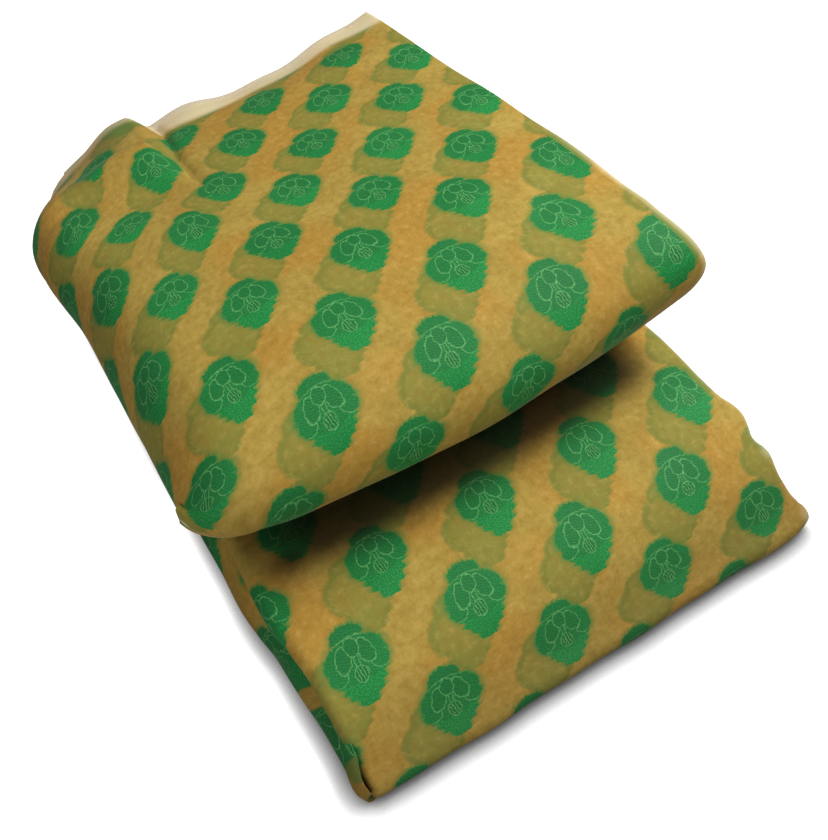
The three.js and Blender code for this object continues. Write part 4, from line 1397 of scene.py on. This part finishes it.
# ------------------------------------------------------------------ stage
FLOOR_REACH, FLOOR_BELOW = 6, 0.0002
FLOOR_ROUGHNESS, FLOOR_GLOSS, FLOOR_GLOW = 0.9, 0.1, 0.86
# FLOOR_SHADED is the colour of the painted contact shade round the cloth.
FLOOR_LIT, FLOOR_SEEN, FLOOR_SHADED = 0.3, 0.42, 0.02
CONTACT_SAMPLES, CONTACT_LEAST = 8, 0.12
BACKDROP = 0.95                  # brightness of the surround as it is seen
OVERHEAD_AT, OVERHEAD_TOWARD = (0.5, -0.14, 0.72), (0, 0, 0.1)
SIDE_AT, SIDE_TOWARD = (-0.5, -0.5, 0.3), (0, 0, 0.06)
CAMERA_LENS, CAMERA_NEAR = 34.28, 0.01
CAMERA_AT = (-4.2, -206.6, 338.1)
CAMERA_RIGHT = (0.84860798, -0.52005553, -0.09698835)
CAMERA_UP = (0.44716116, 0.60717017, 0.65680383)
CAMERA_FORWARD = (0.28268603, 0.6007384, -0.74779809)


def grey(value):
    return (value, value, value, 1)


def camera_ray(tree):
    """1 where the camera looks straight at a surface."""
    return Signal(tree, tree.nodes.new("ShaderNodeLightPath").outputs["Is Camera Ray"])


def floor_material(contact):
    """Pale floor that glows where the camera sees it, with painted shade where it comes close to the cloth.
    """
    material = bpy.data.materials.new("pale_floor")
    material.use_nodes = True
    tree = material.node_tree
    shader = tree.nodes["Principled BSDF"]
    shader.inputs["Roughness"].default_value = FLOOR_ROUGHNESS
    shader.inputs["Specular IOR Level"].default_value = FLOOR_GLOSS
    seen = camera_ray(tree)
    # Painted contact shade: the floor darkens and glows less where the cloth is near.
    nook = tree.nodes.new("ShaderNodeAmbientOcclusion")
    nook.samples = CONTACT_SAMPLES
    nook.inputs["Distance"].default_value = contact
    clear = Signal(tree, nook.outputs["AO"])
    clear = clear * clear * (clear + CONTACT_LEAST)
    base = blend(tree, seen, grey(FLOOR_LIT), grey(FLOOR_SEEN))
    tree.links.new(blend(tree, clear, grey(FLOOR_SHADED), base), shader.inputs["Base Color"])
    shader.inputs["Emission Color"].default_value = grey(1)
    tree.links.new((seen * clear * FLOOR_GLOW).socket, shader.inputs["Emission Strength"])
    return material


def add_floor(contact):
    mesh = bpy.data.meshes.new("floor")
    reach = FLOOR_REACH
    mesh.from_pydata([(-reach, -reach, 0), (reach, -reach, 0), (reach, reach, 0), (-reach, reach, 0)],
                     [], [(0, 1, 2, 3)])
    mesh.materials.append(floor_material(contact))
    floor = bpy.data.objects.new("floor", mesh)
    floor.location.z = CAD_BOX[0][2] - FLOOR_BELOW
    bpy.context.scene.collection.objects.link(floor)


def add_surround(fill):
    """Even light all round, and a bright backdrop where the camera sees it."""
    world = bpy.data.worlds.new("surround")
    world.use_nodes = True
    tree = world.node_tree
    background = tree.nodes["Background"]
    background.inputs["Color"].default_value = grey(1)
    strength = camera_ray(tree) * (BACKDROP - fill) + fill
    tree.links.new(strength.socket, background.inputs["Strength"])
    bpy.context.scene.world = world


def add_lamp(name, power, size, place, toward):
    """A round soft lamp that shines from place toward a point."""
    lamp = bpy.data.lights.new(name, "AREA")
    lamp.shape, lamp.size, lamp.energy = "DISK", size, power
    lamp_object = bpy.data.objects.new(name, lamp)
    lamp_object.location = place
    lamp_object.rotation_euler = (Vector(toward) - Vector(place)).to_track_quat("-Z", "Y").to_euler()
    bpy.context.scene.collection.objects.link(lamp_object)


def add_camera():
    camera = bpy.data.cameras.new("camera")
    camera.lens = CAMERA_LENS
    camera.clip_start = CAMERA_NEAR
    camera_object = bpy.data.objects.new("camera", camera)
    axes = Matrix((CAMERA_RIGHT, CAMERA_UP, -Vector(CAMERA_FORWARD))).transposed().to_4x4()
    axes.translation = Vector(to_frame(CAMERA_AT))
    camera_object.matrix_world = axes
    bpy.context.scene.collection.objects.link(camera_object)
    bpy.context.scene.camera = camera_object


class BuildStage(bpy.types.Operator):
    """Set the floor, the light and the camera"""
    bl_idname = "fabric.stage"
    bl_label = "Floor, light and camera"

    def execute(self, context):
        settings = context.scene.stage_settings
        add_floor(settings.contact)
        add_surround(settings.fill)
        add_lamp("overhead", settings.key_power, settings.key_size, OVERHEAD_AT, OVERHEAD_TOWARD)
        add_lamp("side", settings.side_power, settings.side_size, SIDE_AT, SIDE_TOWARD)
        add_camera()
        context.scene.view_settings.view_transform = "Standard"
        return {"FINISHED"}


class FabricPanel(bpy.types.Panel):
    """Everything that makes up the folded fabric"""
    bl_idname = "VIEW3D_PT_fabric"
    bl_label = "Folded fabric"
    bl_space_type = "VIEW_3D"
    bl_region_type = "UI"
    bl_category = "Fabric"

    def draw(self, context):
        column = self.layout.column()
        for settings in (context.scene.cloth_settings, context.scene.stage_settings):
            for setting in settings.bl_rna.properties.keys():
                if setting not in ("rna_type", "name"):
                    column.prop(settings, setting)
        for operator in OPERATORS:
            column.operator(operator.bl_idname)


OPERATORS = (BuildLaps, BuildLowerCover, BuildUpperCover, BuildStage)
CLASSES = (ClothSettings, StageSettings, *OPERATORS, FabricPanel)


def register():
    for item in CLASSES:
        bpy.utils.register_class(item)
    bpy.types.Scene.cloth_settings = PointerProperty(type=ClothSettings)
    bpy.types.Scene.stage_settings = PointerProperty(type=StageSettings)


def unregister():
    del bpy.types.Scene.stage_settings
    del bpy.types.Scene.cloth_settings
    for item in reversed(CLASSES):
        bpy.utils.unregister_class(item)


def main():
    register()
    bpy.ops.fabric.lower_cover()
    bpy.ops.fabric.upper_cover()
    bpy.ops.fabric.laps()
    bpy.ops.fabric.stage()


if __name__ == "__main__":
    main()
